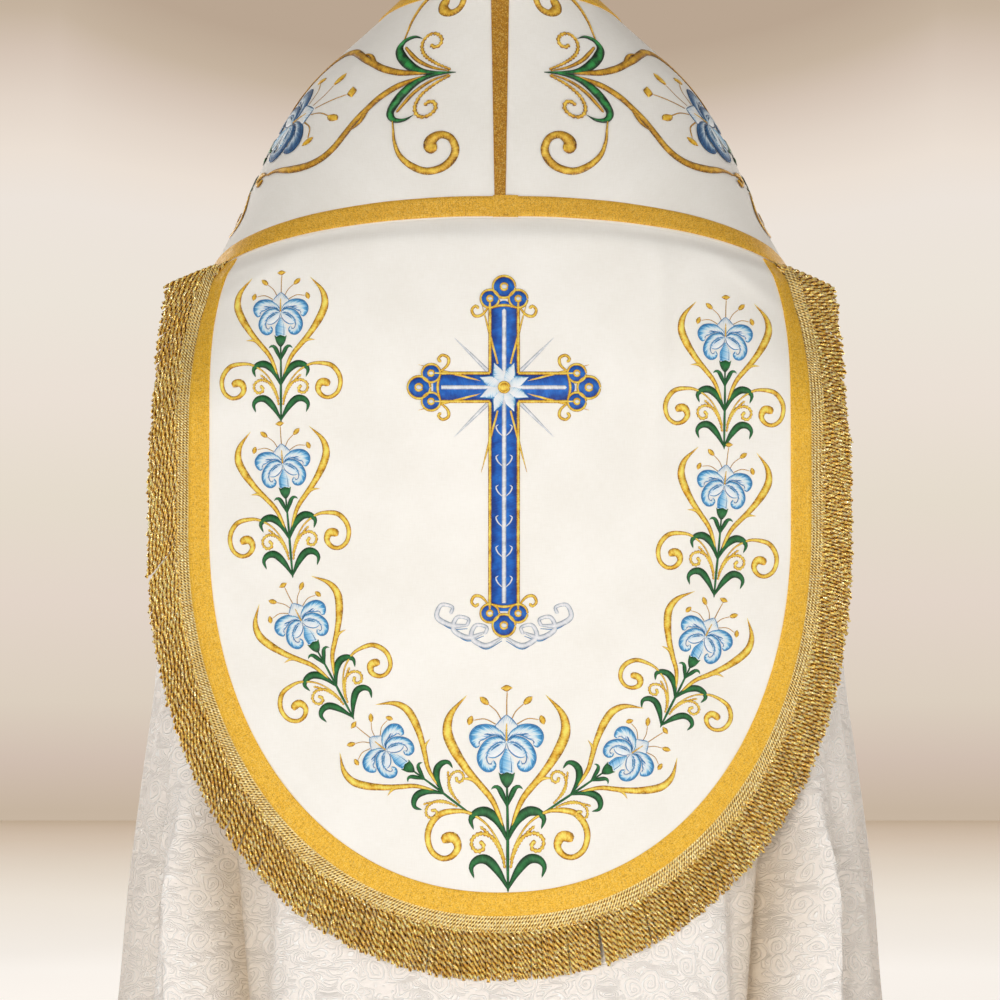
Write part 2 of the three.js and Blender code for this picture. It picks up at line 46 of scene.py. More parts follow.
SEAM_GAP = 0.3

# The drape: one surface that every cloth piece lies on.

SECTIONS = np.array([
    # height, half width, depth to the back, depth to the front, squareness
    (0, 66, 66, 52, 2.0),
    (-35, 103, 74, 62, 2.0),
    (-84, 156, 92, 76, 2.05),
    (-115, 182, 104, 84, 2.1),
    (-161, 209, 121, 94, 2.2),
    (-224, 237, 140, 107, 2.3),
    (-267, 259, 149, 115, 2.35),
    (-330, 277, 157, 122, 2.4),
    (-410, 290, 162, 126, 2.45),
    (-520, 299, 167, 130, 2.5),
    (-636, 305, 172, 135, 2.5),
    (-725, 315, 177, 139, 2.5),
    (-820, 325, 183, 144, 2.5),
    (-926, 332, 189, 150, 2.5),
    (-1100, 350, 202, 162, 2.45),
    (HEM_Z, 396, 232, 188, 2.4),
])
BAND = np.array([
    # station, inner angle, inner height, outer angle, outer height
    (0, 0, 0, 0, -228.5),
    (1, 40, -6, 22, -229.5),
    (2, 80, -20, 44, -234.7),
    (3, 105, -38, 60, -245),
    (4, 122, -74, 73, -260),
    (5, 139, -126, 82, -273),
    (6, 156, -189, 88.5, -290),
    (7, 168, -250, 93, -322),
    (8, 169.4, -335, 96, -370),
    (9, 169.8, -430, 98, -430),
    (10, 169.9, -560, 100, -560),
    (11, 169.8, -700, 101.8, -700),
    (12, 169.7, -900, 104.3, -900),
    (13, 169.4, -1160, 107.8, -1160),
    (14, 169.2, HEM_Z, 111.5, HEM_Z),
])
BODY_CORNER_ANGLE = 98.0
BODY_CORNER_Z = -430.0
FOLD_LEVEL = -770.0
FOLDS = [
    # across, lean over a metre, half width, height at the hem, where it begins
    (0.0, 0, 0.07, 10, -900),
    (0.115, 0, 0.085, -22, -860),
    (0.225, 0, 0.075, 16, -880),
    (0.34, -0.02, 0.085, -26, -860),
    (0.505, -0.1, 0.062, 16, -620),
    (0.607, -0.16, 0.066, -58, -500),
    (0.651, -0.04, 0.043, 34, -540),
    (0.694, 0, 0.032, -30, -480),
    (0.75, 0, 0.053, 26, -420),
    (0.825, 0, 0.052, -52, -400),
    (0.887, 0, 0.045, 34, -430),
    (0.942, 0, 0.04, -34, -450),
]
LEFT_SHIFT = 0.006
LEFT_SHARE = 0.93
SEAM_CALM = 0.1


def mix(a, b, share):
    return a + (b - a) * share


def smooth_step(value):
    t = np.clip(value, 0, 1)
    return t * t * (3 - 2 * t)


def through(xs, ys, at):
    """A smooth curve through a table's rows."""
    xs = np.asarray(xs, float)
    ys = np.asarray(ys, float)
    at = np.asarray(at, float)
    if xs[1] < xs[0]:
        xs, at = -xs, -at
    count = len(xs)
    before = np.maximum(np.arange(count) - 1, 0)
    after = np.minimum(np.arange(count) + 1, count - 1)
    slope = (ys[after] - ys[before]) / (xs[after] - xs[before])
    k = np.clip(np.searchsorted(xs, at, side="right") - 1, 0, count - 2)
    span = xs[k + 1] - xs[k]
    t = np.clip((at - xs[k]) / span, 0, 1)
    t2, t3 = t * t, t * t * t
    start = (2 * t3 - 3 * t2 + 1) * ys[k] + (t3 - 2 * t2 + t) * span * slope[k]
    return start + (3 * t2 - 2 * t3) * ys[k + 1] + (t3 - t2) * span * slope[k + 1]


def section(z):
    return [through(SECTIONS[:, 0], SECTIONS[:, n], z) for n in range(1, 5)]


def drape_radius(angle, z):
    width, back, front, square = section(z)
    sine, cosine = np.abs(np.sin(angle)), np.cos(angle)
    depth = np.where(cosine > 0, back, front)
    return ((sine / width) ** square + (np.abs(cosine) / depth) ** square) ** (-1 / square)


def polar(angle, z, radius):
    return np.stack([np.sin(angle) * radius, -np.cos(angle) * radius, z + 0 * radius], axis=-1)


def unit(vectors):
    return vectors / np.maximum(np.linalg.norm(vectors, axis=-1, keepdims=True), 1e-9)


def run_along(points, axis=0):
    """The length of each line of points up to each of its points."""
    runs = np.cumsum(np.linalg.norm(np.diff(points, axis=axis), axis=-1), axis=axis)
    return np.concatenate([0 * runs.take([0], axis=axis), runs], axis=axis)


def drape_sample(angle, z, radius=drape_radius):
    """Points of the drape and their outward normals."""
    turn, drop = math.radians(0.3), 1.0
    point = polar(angle, z, radius(angle, z))
    across = polar(angle + turn, z, radius(angle + turn, z)) - polar(angle - turn, z, radius(angle - turn, z))
    high, low = np.minimum(z + drop, 0), np.maximum(z - drop, HEM_Z)
    up = polar(angle, high, radius(angle, high)) - polar(angle, low, radius(angle, low))
    return point, unit(np.cross(across, up))


# Lines across the orphrey band, and the angle and height at even shares of each line's true length.
LINE_COUNT, SHARE_COUNT = 561, 65
STATIONS = np.linspace(0, 14, LINE_COUNT)


def band_table():
    read = [through(BAND[:, 0], BAND[:, n], STATIONS) for n in range(1, 5)]
    share = np.linspace(0, 1, SHARE_COUNT)[None, :]
    angle = mix(np.radians(read[0])[:, None], np.radians(read[2])[:, None], share)
    z = mix(read[1][:, None], read[3][:, None], share)
    points = polar(angle, z, drape_radius(angle, z))
    run = run_along(points, 1)
    even_angle, even_z = np.empty_like(angle), np.empty_like(z)
    for k in range(LINE_COUNT):
        at = run[k, -1] * share[0]
        even_angle[k] = np.interp(at, run[k], angle[k])
        even_z[k] = np.interp(at, run[k], z[k])
    return even_angle, even_z, run[:, -1], run_along(points[:, SHARE_COUNT // 2])


LINE_ANGLE, LINE_Z, LINE_LENGTH, LINE_RUN = band_table()


def band_place(run, across):
    """Angle and height of a place on the band, by its run along it and its distance from the neck edge."""
    line = np.interp(run, LINE_RUN, np.arange(LINE_COUNT))
    share = np.clip(across / np.interp(line, np.arange(LINE_COUNT), LINE_LENGTH), 0, 1) * (SHARE_COUNT - 1)
    i = np.clip(line.astype(int), 0, LINE_COUNT - 2)
    j = np.clip(share.astype(int), 0, SHARE_COUNT - 2)
    p, q = line - i, share - j

    def read(table):
        near = mix(table[i, j], table[i, j + 1], q)
        far = mix(table[i + 1, j], table[i + 1, j + 1], q)
        return mix(near, far, p)

    return read(LINE_ANGLE), read(LINE_Z)


SEAM_ANGLE = LINE_ANGLE[:, -1]
SEAM_Z = LINE_Z[:, -1]
SEAM_POINT = polar(SEAM_ANGLE, SEAM_Z, drape_radius(SEAM_ANGLE, SEAM_Z))
BAND_END = LINE_RUN[-1]


def front_angle(z):
    corner = math.radians(BODY_CORNER_ANGLE)
    lower = np.interp(-z, -SEAM_Z, SEAM_ANGLE)
    return np.where(z > BODY_CORNER_Z, corner, np.maximum(lower, corner)) - 0.0012


def fold_height(across, z):
    left = across < 0
    place = np.abs(across)
    height = np.zeros_like(place + z)
    for centre, lean, half, rise, start in FOLDS:
        shift = LEFT_SHIFT if centre > 0 else 0.0
        at = centre + np.where(left, shift, 0) + lean * (FOLD_LEVEL - z) / 1000
        offset = np.clip((place - at) / half, -1, 1)
        grown = np.clip((start - z) / (start - HEM_Z), 0, None)
        height = height + rise * np.cos(offset * np.pi / 2) ** 2 * grown
    return height * smooth_step((1 - place) / SEAM_CALM) * np.where(left, LEFT_SHARE, 1)


# Smaller folds that only the cloth itself shows. The height grows from the top over the fade-in length, and
# ends again below the foot.
NO_FOOT = -9999
CREASES = [
    # across, lean over a metre, half width, height, top, fade-in length, foot
    (0.472, 0.0, 0.009, -2.4, -770, 140, NO_FOOT),
    (0.435, 0.0, 0.022, 1.6, -800, 200, NO_FOOT),
    (0.621, -0.146, 0.02, 38.0, -640, 180, NO_FOOT),
    (0.584, -0.36, 0.021, -15.5, -640, 180, NO_FOOT),
    (0.521, -0.138, 0.036, -19.3, -640, 180, NO_FOOT),
    (0.690, 0.0, 0.024, 13.0, -480, 160, -760),
    (0.672, 0.0, 0.006, -4.0, -640, 160, NO_FOOT),
    (0.728, 0.0, 0.014, -2.0, -620, 200, NO_FOOT),
    (0.27, 0.0, 0.03, -2.0, -900, 300, NO_FOOT),
    (0.16, 0.0, 0.03, 2.0, -880, 300, NO_FOOT),
    (0.86, 0.0, 0.014, -3.0, -600, 260, NO_FOOT),
]
CREASE_LEVEL = -850.0
SLOW_WAVE, SLOW_WAVE_TOP, SLOW_WAVE_FADE = 1.6, -500, 300
# Painted shade in the deep fold at each side: across, lean over a metre, half width outwards and inwards,
# top, fade-in length.
PAINTED_VALLEY_SHADE = (0.590, -0.26, 0.016, 0.075, -640, 180)
# Painted shade on the side strip that turns away from the light: where it fades in across, and how dark it
# gets.
SIDE_STRIP, SIDE_STRIP_SHADE = (0.664, 0.676), 0.22


def crease_height(across, z):
    place = np.abs(across)
    height = np.zeros_like(place + z)
    for centre, lean, half, rise, top, fade, foot in CREASES:
        offset = (place - centre - lean * (CREASE_LEVEL - z) / 1000) / half
        grown = smooth_step((top - z) / fade) * (1 - smooth_step((foot - z) / fade))
        height = height + rise * np.exp(-offset * offset) * grown
    slow = np.sin(across * 9 + z / 170) * np.sin(z / 230 + across * 3.3)
    return height + SLOW_WAVE * slow * smooth_step((SLOW_WAVE_TOP - z) / SLOW_WAVE_FADE)


def painted_fold_shade(across, z):
    """How deep in a fold each place lies, from 0 to 1: painted shade for the cloth's colour, in the deep
    fold's valley and on the side strip.
    """
    centre, lean, outer, inner, top, fade = PAINTED_VALLEY_SHADE
    offset = np.abs(across) - centre - lean * (CREASE_LEVEL - z) / 1000
    valley = np.exp(-(offset / np.where(offset > 0, outer, inner)) ** 2)
    low, high = SIDE_STRIP
    strip = SIDE_STRIP_SHADE * smooth_step((np.abs(across) - low) / (high - low))
    return np.maximum(valley, strip) * smooth_step((top - z) / fade)


# The hood.

HOOD_CORNER_X = 253.0
HOOD_HALF = 251.0
HOOD_WIDEST_Z = -389.0
HOOD_CORNER_NARROWING = 13.0
HOOD_CORNER_RISE = 114.0
HOOD_CURVE_START = -493.0
HOOD_BOTTOM = -805.0
HOOD_POWER = 2.15
HOOD_STAND_OFF = 12.0
HOOD_BACK_RADIUS = 640.0
HOOD_SETTLE = 140.0
HOOD_LET_OUT = 4.0
HOOD_LET_OUT_LENGTH = 16.0
FRONT_LINES = LINE_COUNT * 6 // 14


def back_depth(x, z, let_out):
    width, back, _, square = section(z)
    across = np.minimum(np.abs(x) / (width + let_out), 0.995)
    return (back + let_out) * (1 - across ** square) ** (1 / square)


def seam_z_at(x):
    return np.interp(np.abs(x), SEAM_POINT[:FRONT_LINES, 0], SEAM_POINT[:FRONT_LINES, 2]) - SEAM_GAP


# Soft dents in the hanging hood: two places in x and z, the half width across, and the depth.
DENTS = [
    ((-262, -262), (-120, -236), 11, -5.0),
    ((-246, -300), (-170, -250), 9, 2.4),
    ((262, -262), (125, -238), 11, -5.0),
    ((246, -304), (175, -250), 9, 2.2),
    ((-20, -245), (-60, -420), 60, 2.0),
    ((140, -250), (134, -440), 9, 1.8),
    ((-150, -430), (-120, -640), 45, -2.2),
    ((110, -470), (60, -690), 60, 2.0),
    ((-262, -560), (-180, -730), 30, 2.0),
    ((262, -560), (180, -740), 34, -2.0),
]


def dent_height(x, z):
    height = 0 * x
    for (x0, z0), (x1, z1), half, depth in DENTS:
        dx, dz = x1 - x0, z1 - z0
        length = math.hypot(dx, dz)
        along = ((x - x0) * dx + (z - z0) * dz) / length
        aside = ((x - x0) * dz - (z - z0) * dx) / length
        over = np.maximum(np.abs(along - length / 2) - length / 2, 0)
        height = height + depth * np.exp(-(aside / half) ** 2 - (over / (half + 18)) ** 2)
    return height


def hood_point(x, z):
    reach = np.minimum(np.abs(x), HOOD_CORNER_X)
    drop = seam_z_at(reach) - z
    let_out = HOOD_LET_OUT * smooth_step(drop / HOOD_LET_OUT_LENGTH)
    shoulder = -back_depth(x, z, let_out)
    back = section(z)[1]
    barrel = -(back + HOOD_STAND_OFF - x * x / (2 * HOOD_BACK_RADIUS))
    y = mix(shoulder, barrel, smooth_step(drop / HOOD_SETTLE))
    y = y - dent_height(x, z) * smooth_step(drop / 30)
    return np.stack([x + 0 * z, y, z + 0 * x], axis=-1)


def hood_sample(x, z):
    step = 1.5
    across = hood_point(x + step, z) - hood_point(x - step, z)
    up = hood_point(x, z + step) - hood_point(x, z - step)
    return hood_point(x, z), unit(np.cross(across, up))


def hood_half_width(z):
    upper = HOOD_HALF - HOOD_CORNER_NARROWING * (np.maximum(z - HOOD_WIDEST_Z, 0) / HOOD_CORNER_RISE) ** 3
    drop = np.clip((HOOD_CURVE_START - z) / (HOOD_CURVE_START - HOOD_BOTTOM), 0, 1)
    lower = HOOD_HALF * (1 - drop ** HOOD_POWER) ** (1 / HOOD_POWER)
    return np.where(z > HOOD_WIDEST_Z, upper, lower)


def hood_outline():
    """The inner edge of the hood's galloon: x and z at even steps, and the run."""
    corner_z = -270.0
    for _ in range(8):
        corner_z = float(seam_z_at(hood_half_width(np.array(corner_z))))
    turn = np.linspace(0, np.pi / 2, 1200)
    z = mix(corner_z, HOOD_BOTTOM, np.sin(turn))
    x = hood_half_width(z)
    xs = np.concatenate([-x, x[::-1][1:]])
    zs = np.concatenate([z, z[::-1][1:]])
    return xs, zs, run_along(np.stack([xs, zs], axis=-1))


OUTLINE_X, OUTLINE_Z, OUTLINE_RUN = hood_outline()


def outline_at(run):
    """The outline's x and z at a run along it, and the outward direction there."""
    def place(at):
        return np.stack([np.interp(at, OUTLINE_RUN, OUTLINE_X), np.interp(at, OUTLINE_RUN, OUTLINE_Z)])

    dx, dz = place(run + 3) - place(run - 3)
    length = np.hypot(dx, dz)
    return *place(run), dz / length, -dx / length


def outline_out(run, distance):
    """The x and z of a place that lies a true distance outside the outline, on the hood's curved face."""
    x, z, out_x, out_z = outline_at(run)
    _, normal = hood_sample(x + out_x * distance / 2, z + out_z * distance / 2)
    narrow = np.maximum(0.55, np.abs(normal[..., 1]) / np.hypot(normal[..., 0], normal[..., 1]))
    far_x, far_z = x + out_x * distance * narrow, z + out_z * distance
    ceiling = seam_z_at(np.minimum(np.abs(far_x), HOOD_CORNER_X + 8))
    return far_x, np.minimum(far_z, ceiling)


# The camera that the photograph was taken with, to place what is seen.

PHOTO_SIZE, SENSOR_WIDTH = 1000, 36
PHOTO_CENTRE_Z = -472.0
PHOTO_SCALE = 0.85
CAMERA_DISTANCE = 3000.0
FACE_Y = -190.0


def hood_place(px, py):
    """The x and z on the hood that lies behind a place of the photograph."""
    right, down = (px - PHOTO_SIZE / 2) * PHOTO_SCALE, (py - PHOTO_SIZE / 2) * PHOTO_SCALE
    x, z = right, PHOTO_CENTRE_Z - down
    for _ in range(4):
        y = hood_point(np.array(x), np.array(z))[1]
        away = (CAMERA_DISTANCE + y - FACE_Y) / CAMERA_DISTANCE
        x, z = right * away, PHOTO_CENTRE_Z - down * away
    return float(x), float(z)


# Making pieces.


def deselect():
    bpy.ops.object.select_all(action="DESELECT")


def make_active(piece):
    deselect()
    piece.select_set(True)
    bpy.context.view_layer.objects.active = piece


def read_vertices(piece):
    flat = np.empty(len(piece.data.vertices) * 3)
    piece.data.vertices.foreach_get("co", flat)
    return flat.reshape(-1, 3)


def flat_grid(name, columns, rows):
    """A flat grid of faces, and its vertices' shares along it and up it."""
    deselect()
    bpy.ops.mesh.primitive_grid_add(x_subdivisions=columns, y_subdivisions=rows, size=2)
    piece = bpy.context.object
    piece.name = name
    piece.data.name = name
    flat = read_vertices(piece)
    return piece, (flat[:, 0] + 1) / 2, (flat[:, 1] + 1) / 2


def move_vertices(piece, places):
    piece.data.vertices.foreach_set("co", (places * MM).ravel())
    piece.data.update()


def write_uv(piece, name, u, v):
    """One UV map from a value pair at each vertex."""
    mesh = piece.data
    layer = mesh.uv_layers.get(name) or mesh.uv_layers.new(name=name)
    corner = np.empty(len(mesh.loops), dtype=np.int32)
    mesh.loops.foreach_get("vertex_index", corner)
    layer.data.foreach_set("uv", np.stack([u, v], axis=-1)[corner].ravel())


def edit_all(piece, operation, **settings):
    """Runs one edit-mode operation on the whole of a piece."""
    make_active(piece)
    bpy.ops.object.mode_set(mode="EDIT")
    bpy.ops.mesh.select_all(action="SELECT")
    operation(**settings)
    bpy.ops.object.mode_set(mode="OBJECT")


def join_pieces(pieces, name):
    deselect()
    for piece in pieces:
        piece.select_set(True)
    bpy.context.view_layer.objects.active = pieces[0]
    bpy.ops.object.join()
    joined = bpy.context.object
    joined.name = name
    return joined


def thicken(piece, thickness):
    """Gives a sheet its wall, inwards from the face that shows."""
    make_active(piece)
    bpy.ops.object.modifier_add(type="SOLIDIFY")
    wall = piece.modifiers[-1]
    wall.thickness = thickness * MM
    wall.offset = -1
    wall.use_even_offset = False
    wall.use_quality_normals = False
    bpy.ops.object.modifier_apply(modifier=wall.name)
    bpy.ops.object.shade_smooth_by_angle(angle=math.radians(50))


def grid_runs(places, columns, rows):
    """Lengths along the rows, from the middle column, and up the columns, from the top row."""
    grid = places.reshape(rows + 1, columns + 1, 3)
    u, v = run_along(grid, 1), run_along(grid, 0)
    return (u - u[:, columns // 2:columns // 2 + 1]).ravel(), (v - v[-1:, :]).ravel()


def dress(piece, material, node):
    piece.data.materials.clear()
    piece.data.materials.append(material)
    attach(piece, "root")
    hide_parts(node)


def raise_from(piece, point, normal, rise):
    """Moves a piece's vertices to places that lie a rise in front of a surface."""
    move_vertices(piece, point + normal * rise[:, None])


def finish_cloth(piece, u, v, wall, material, node):
    """Maps a sheet by its lengths, thickens it and dresses it."""
    write_uv(piece, "cloth", u * MM, v * MM)
    thicken(piece, wall)
    dress(piece, material, node)
    return piece


# Shader node groups and materials.

def arithmetic(operation, swapped=False):
    def apply(value, other):
        pair = (other, value) if swapped else (value, other)
        return value.wires.math(operation, *pair)
    return apply


class Value:
    """What a node puts out. Sums and products of it add Math nodes."""

    def __init__(self, wires, socket):
        self.wires = wires
        self.socket = socket

    __add__, __radd__ = arithmetic("ADD"), arithmetic("ADD", True)
    __sub__, __rsub__ = arithmetic("SUBTRACT"), arithmetic("SUBTRACT", True)
    __mul__, __rmul__ = arithmetic("MULTIPLY"), arithmetic("MULTIPLY", True)
    __truediv__, __rtruediv__ = arithmetic("DIVIDE"), arithmetic("DIVIDE", True)

    def clamped(self):
        return self.wires.math("ADD", self, 0.0, clamp=True)


class Wires:
    """Adds nodes to a tree and joins them."""

    def __init__(self, tree):
        self.tree = tree

    def join(self, source, target):
        if isinstance(source, Value):
            self.tree.links.new(source.socket, target)
        elif isinstance(source, tuple) and target.type == "RGBA":
            target.default_value = (*source, 1)
        else:
            target.default_value = source

    def join_all(self, values, sockets):
        for key, value in values.items():
            self.join(value, sockets[key])

    def make(self, kind, inputs, output=0, **settings):
        """A new node's output, by name or number, or all of them by name where output is None."""
        made = self.tree.nodes.new(kind)
        for key, value in settings.items():
            setattr(made, key, value)
        self.join_all(inputs, made.inputs)
        if output is None:
            return {socket.name: Value(self, socket) for socket in made.outputs}
        return Value(self, made.outputs[output])

    def effect(self, group, **values):
        return self.make("ShaderNodeGroup", values, None, node_tree=group)

    def uv(self, name="cloth"):
        return self.make("ShaderNodeUVMap", {}, uv_map=name)

    def object_place(self):
        return self.make("ShaderNodeTexCoord", {}, "Object")

    def math(self, operation, *values, clamp=False):
        return self.make("ShaderNodeMath", dict(enumerate(values)), operation=operation, use_clamp=clamp)

    def vector(self, operation, *values):
        return self.make("ShaderNodeVectorMath", dict(enumerate(values)), operation=operation)

    def scaled(self, vector, share):
        return self.make("ShaderNodeVectorMath", {0: vector, "Scale": share}, operation="SCALE")

    def split(self, vector, kind="ShaderNodeSeparateXYZ"):
        return list(self.make(kind, {0: vector}, None).values())

    def between(self, value, low, high):
        """A smooth rise from 0 to 1 as the value goes from low to high."""
        ends = {"Value": value, "From Min": low, "From Max": high}
        return self.make("ShaderNodeMapRange", ends, "Result", interpolation_type="SMOOTHSTEP")

    def mix_colour(self, factor, a, b):
        return self.make("ShaderNodeMix", {0: factor, 6: a, 7: b}, 2, data_type="RGBA")

    def mix_value(self, factor, a, b):
        return self.make("ShaderNodeMix", {0: factor, 2: a, 3: b}, 0, data_type="FLOAT")

    def noise(self, vector, scale, detail):
        return self.make("ShaderNodeTexNoise", {"Vector": vector, "Scale": scale, "Detail": detail}, "Fac")

    def ramp(self, value, stops):
        made = self.tree.nodes.new("ShaderNodeValToRGB")
        self.join(value, made.inputs["Fac"])
        band = made.color_ramp
        for element, (position, colour) in zip(band.elements, (stops[0], stops[-1])):
            element.position, element.color = position, (*colour, 1)
        for position, colour in stops[1:-1]:
            band.elements.new(position).color = (*colour, 1)
        return Value(self, made.outputs["Color"])

    def bump(self, height, strength, distance):
        return self.make("ShaderNodeBump", {"Height": height, "Strength": strength, "Distance": distance})


class Group(Wires):
    """A shader node group with named sockets. An input with no default value is a vector."""

    def __init__(self, name, **inputs):
        super().__init__(bpy.data.node_groups.new(name, "ShaderNodeTree"))
        for title, value in inputs.items():
            kind = "NodeSocketVector" if value is None else "NodeSocketFloat"
            socket = self.tree.interface.new_socket(name=title, in_out="INPUT", socket_type=kind)
            if value is not None:
                socket.default_value = value
        start = self.tree.nodes.new("NodeGroupInput")
        self.given = [Value(self, start.outputs[title]) for title in inputs]

    def finish(self, **outputs):
        for title in outputs:
            self.tree.interface.new_socket(name=title, in_out="OUTPUT", socket_type="NodeSocketFloat")
        end = self.tree.nodes.new("NodeGroupOutput")
        self.join_all(outputs, end.inputs)
        return self.tree


class Material(Wires):
    """A material with one Principled BSDF."""

    def __init__(self, name):
        self.made = bpy.data.materials.new(name)
        self.made.use_nodes = True
        super().__init__(self.made.node_tree)
        self.tree.nodes.clear()
        output = self.tree.nodes.new("ShaderNodeOutputMaterial")
        self.shader = self.tree.nodes.new("ShaderNodeBsdfPrincipled")
        self.tree.links.new(self.shader.outputs[0], output.inputs[0])

    def finish(self, inputs):
        self.join_all(inputs, self.shader.inputs)
        return self.made


def srgb(red, green, blue):
    """A colour read off the photograph, as the linear value a shader takes."""
    shares = (red / 255, green / 255, blue / 255)
    return tuple(((c + 0.055) / 1.055) ** 2.4 if c > 0.04045 else c / 12.92 for c in shares)


def tones(*stops):
    """The stops of a colour ramp, from pairs of a share and a colour."""
    return [(share, srgb(*colour)) for share, colour in stops]


def make_weave_group():
    """Crossed threads. Coordinates are metres along and across the cloth, and Pitch is in metres."""
    w = Group("woven threads", Coordinates=None, Pitch=0.0008, Unevenness=0.5)
    place, pitch, uneven = w.given
    turns = 2 * math.pi / pitch
    shifted = w.noise(place, 260, 2) * uneven * 6.0
    along, across, _ = w.split(place)
    crossing = w.math("SINE", along * turns + shifted) * w.math("SINE", across * turns + shifted)
    slub = w.noise(w.vector("MULTIPLY", place, (1.0, 0.08, 1.0)), 1400, 1)
    slub_across = w.noise(w.vector("MULTIPLY", place, (0.08, 1.0, 1.0)), 1400, 1)
    return w.finish(Height=crossing * 0.5 + 0.5, Shade=(slub + slub_across) * 0.5)


def make_glint_group():
    """Painted glints: bright flecks where metal thread catches the light."""
    w = Group("metal glints", Coordinates=None, Size=0.001)
    place, size = w.given
    cells = w.make("ShaderNodeTexVoronoi", {"Vector": w.scaled(place, 1.0 / size), "Scale": 1.0}, None,
                   voronoi_dimensions="3D", feature="F1")
    chance = w.split(cells["Color"], "ShaderNodeSeparateColor")[0]
    return w.finish(Glint=w.between(chance, 0.55, 1.0), Depth=(1.0 - cells["Distance"]).clamped())


def make_stitch_group():
    """Satin stitch: threads lie side by side along the length and run across it. Share is a place's share of
    the shape's width. The output for padded stitches is painted shade where they turn down at both edges, a
    painted highlight along their crown and blotches of painted sheen, over the threads' uneven tone. Blended
    goes from one edge to the other, for thread that changes colour."""
    w = Group("satin stitch", Coordinates=None, Thread=0.0007, Share=0.5)
    place, thread, share = w.given
    along, across, _ = w.split(place)
    line = (along + across * 0.35) / thread
    ridge = w.math("ABSOLUTE", w.math("SINE", line * math.pi))
    shade = w.make("ShaderNodeTexWhiteNoise", {"W": w.math("FLOOR", line)}, "Value", noise_dimensions="1D")
    split = w.noise(w.vector("MULTIPLY", place, (1.0, 0.25, 1.0)), 900, 2)
    # Painted shade and highlight across a padded shape: 0 at both edges, 1 along the crown.
    painted_dome_shading = share * (1.0 - share) * 4.0
    # The slow noise is blotches of painted sheen, over the threads' uneven tone.
    uneven = shade * 0.18 + split * 0.5 + w.noise(place, 110, 2) * 1.8
    ragged = (shade - 0.5) * 0.34 + (split - 0.5) * 0.3
    return w.finish(
        Ridge=ridge, Shade=shade, Height=ridge + split * 0.5,
        PaddingShadeAndSheen=(painted_dome_shading + (uneven - 1.42)).clamped(), Blended=(share + ragged).clamped())


def make_damask_group():
    """Self-patterned scrolls: each cell of the cloth holds a curl of fine raised lines among waving ones."""
    w = Group("damask scrolls", Coordinates=None, Scroll=0.034)
    coordinates, scroll = w.given
    scaled = w.scaled(w.vector("MULTIPLY", coordinates, (1.0, 1.0, 0.0)), 1.0 / scroll)
    bent = w.make("ShaderNodeTexNoise", {"Vector": scaled, "Scale": 1.3}, "Color")
    place = w.vector("ADD", scaled, w.scaled(w.vector("SUBTRACT", bent, (0.5, 0.5, 0.5)), 0.55))
    cells = w.make("ShaderNodeTexVoronoi", {"Vector": place, "Scale": 1.0, "Randomness": 0.8}, None,
                   voronoi_dimensions="2D", feature="F1")
    right, up, _ = w.split(w.vector("SUBTRACT", place, cells["Position"]))
    side, start, _ = w.split(cells["Color"], "ShaderNodeSeparateColor")
    hand = w.math("GREATER_THAN", side, 0.5) * 2.0 - 1.0
    wind = w.math("POWER", cells["Distance"], 0.7) * 42.0
    curl = w.math("COSINE", w.math("ARCTAN2", up, right) * hand + wind + start * (2 * math.pi))
    waves = w.noise(w.vector("MULTIPLY", place, (0.8, 1.5, 1.0)), 1.5, 1)
    wave = w.math("COSINE", waves * (2 * math.pi * 15))
    outside = w.between(cells["Distance"], 0.3, 0.42)
    lines = w.mix_value(outside, w.between(curl, 0.4, 1.0), w.between(wave, 0.4, 1.0))
    return w.finish(Lines=lines, Figure=w.between(w.noise(scaled, 1.6, 2), 0.42, 0.58))


WEAVE = make_weave_group()
GLINT = make_glint_group()
STITCH = make_stitch_group()
DAMASK = make_damask_group()


def make_braid_group():
    """Woven metal braid."""
    w = Group("metal braid", Coordinates=None)
    place, = w.given
    threads = w.effect(WEAVE, Coordinates=place, Pitch=0.0013, Unevenness=0.5)
    flecks = w.effect(GLINT, Coordinates=place, Size=0.0009)
    tone = w.between(threads["Shade"] * 0.6 + flecks["Depth"] * 0.4, 0.2, 0.76)
    return w.finish(Tone=tone, Glint=flecks["Glint"], Height=threads["Height"] + flecks["Depth"] * 0.7)


def make_plain_weave_group():
    """Plain cloth that is a little cloudy."""
    w = Group("plain weave", Coordinates=None)
    place, = w.given
    threads = w.effect(WEAVE, Coordinates=place, Pitch=0.0009, Unevenness=0.35)
    tone = w.between(threads["Shade"] * 0.5 + w.noise(place, 14, 3) * 0.5, 0.3, 0.7)
    return w.finish(Tone=tone, Shade=threads["Shade"], Height=threads["Height"])


BRAID = make_braid_group()
PLAIN_WEAVE = make_plain_weave_group()


def make_damask():
    w = Material("ivory damask")
    place = w.uv()
    scrolls = w.effect(DAMASK, Coordinates=place, Scroll=0.03)
    threads = w.effect(WEAVE, Coordinates=place, Pitch=0.0009, Unevenness=0.4)
    ground = w.mix_colour(threads["Shade"], srgb(246, 238, 231), srgb(253, 248, 243))
    figured = w.mix_colour(threads["Shade"], srgb(255, 252, 248), srgb(255, 255, 253))
    colour = w.mix_colour(scrolls["Lines"], ground, figured)
    # Painted shade: the cloth's colour goes towards warm grey where the tone map marks the deep folds and the
    # side strips.
    fold = w.split(w.uv("tone"))[1]
    raised = scrolls["Lines"] + scrolls["Figure"] * 0.5 + threads["Height"] * 0.12
    return w.finish({
        "Base Color": w.mix_colour(fold, colour, srgb(204, 186, 162)),
        "Roughness": 0.62 - scrolls["Lines"] * 0.2,
        "Normal": w.bump(raised, 0.85, 0.00085),
        "Sheen Weight": 0.1,
        "Specular IOR Level": 0.45,
    })


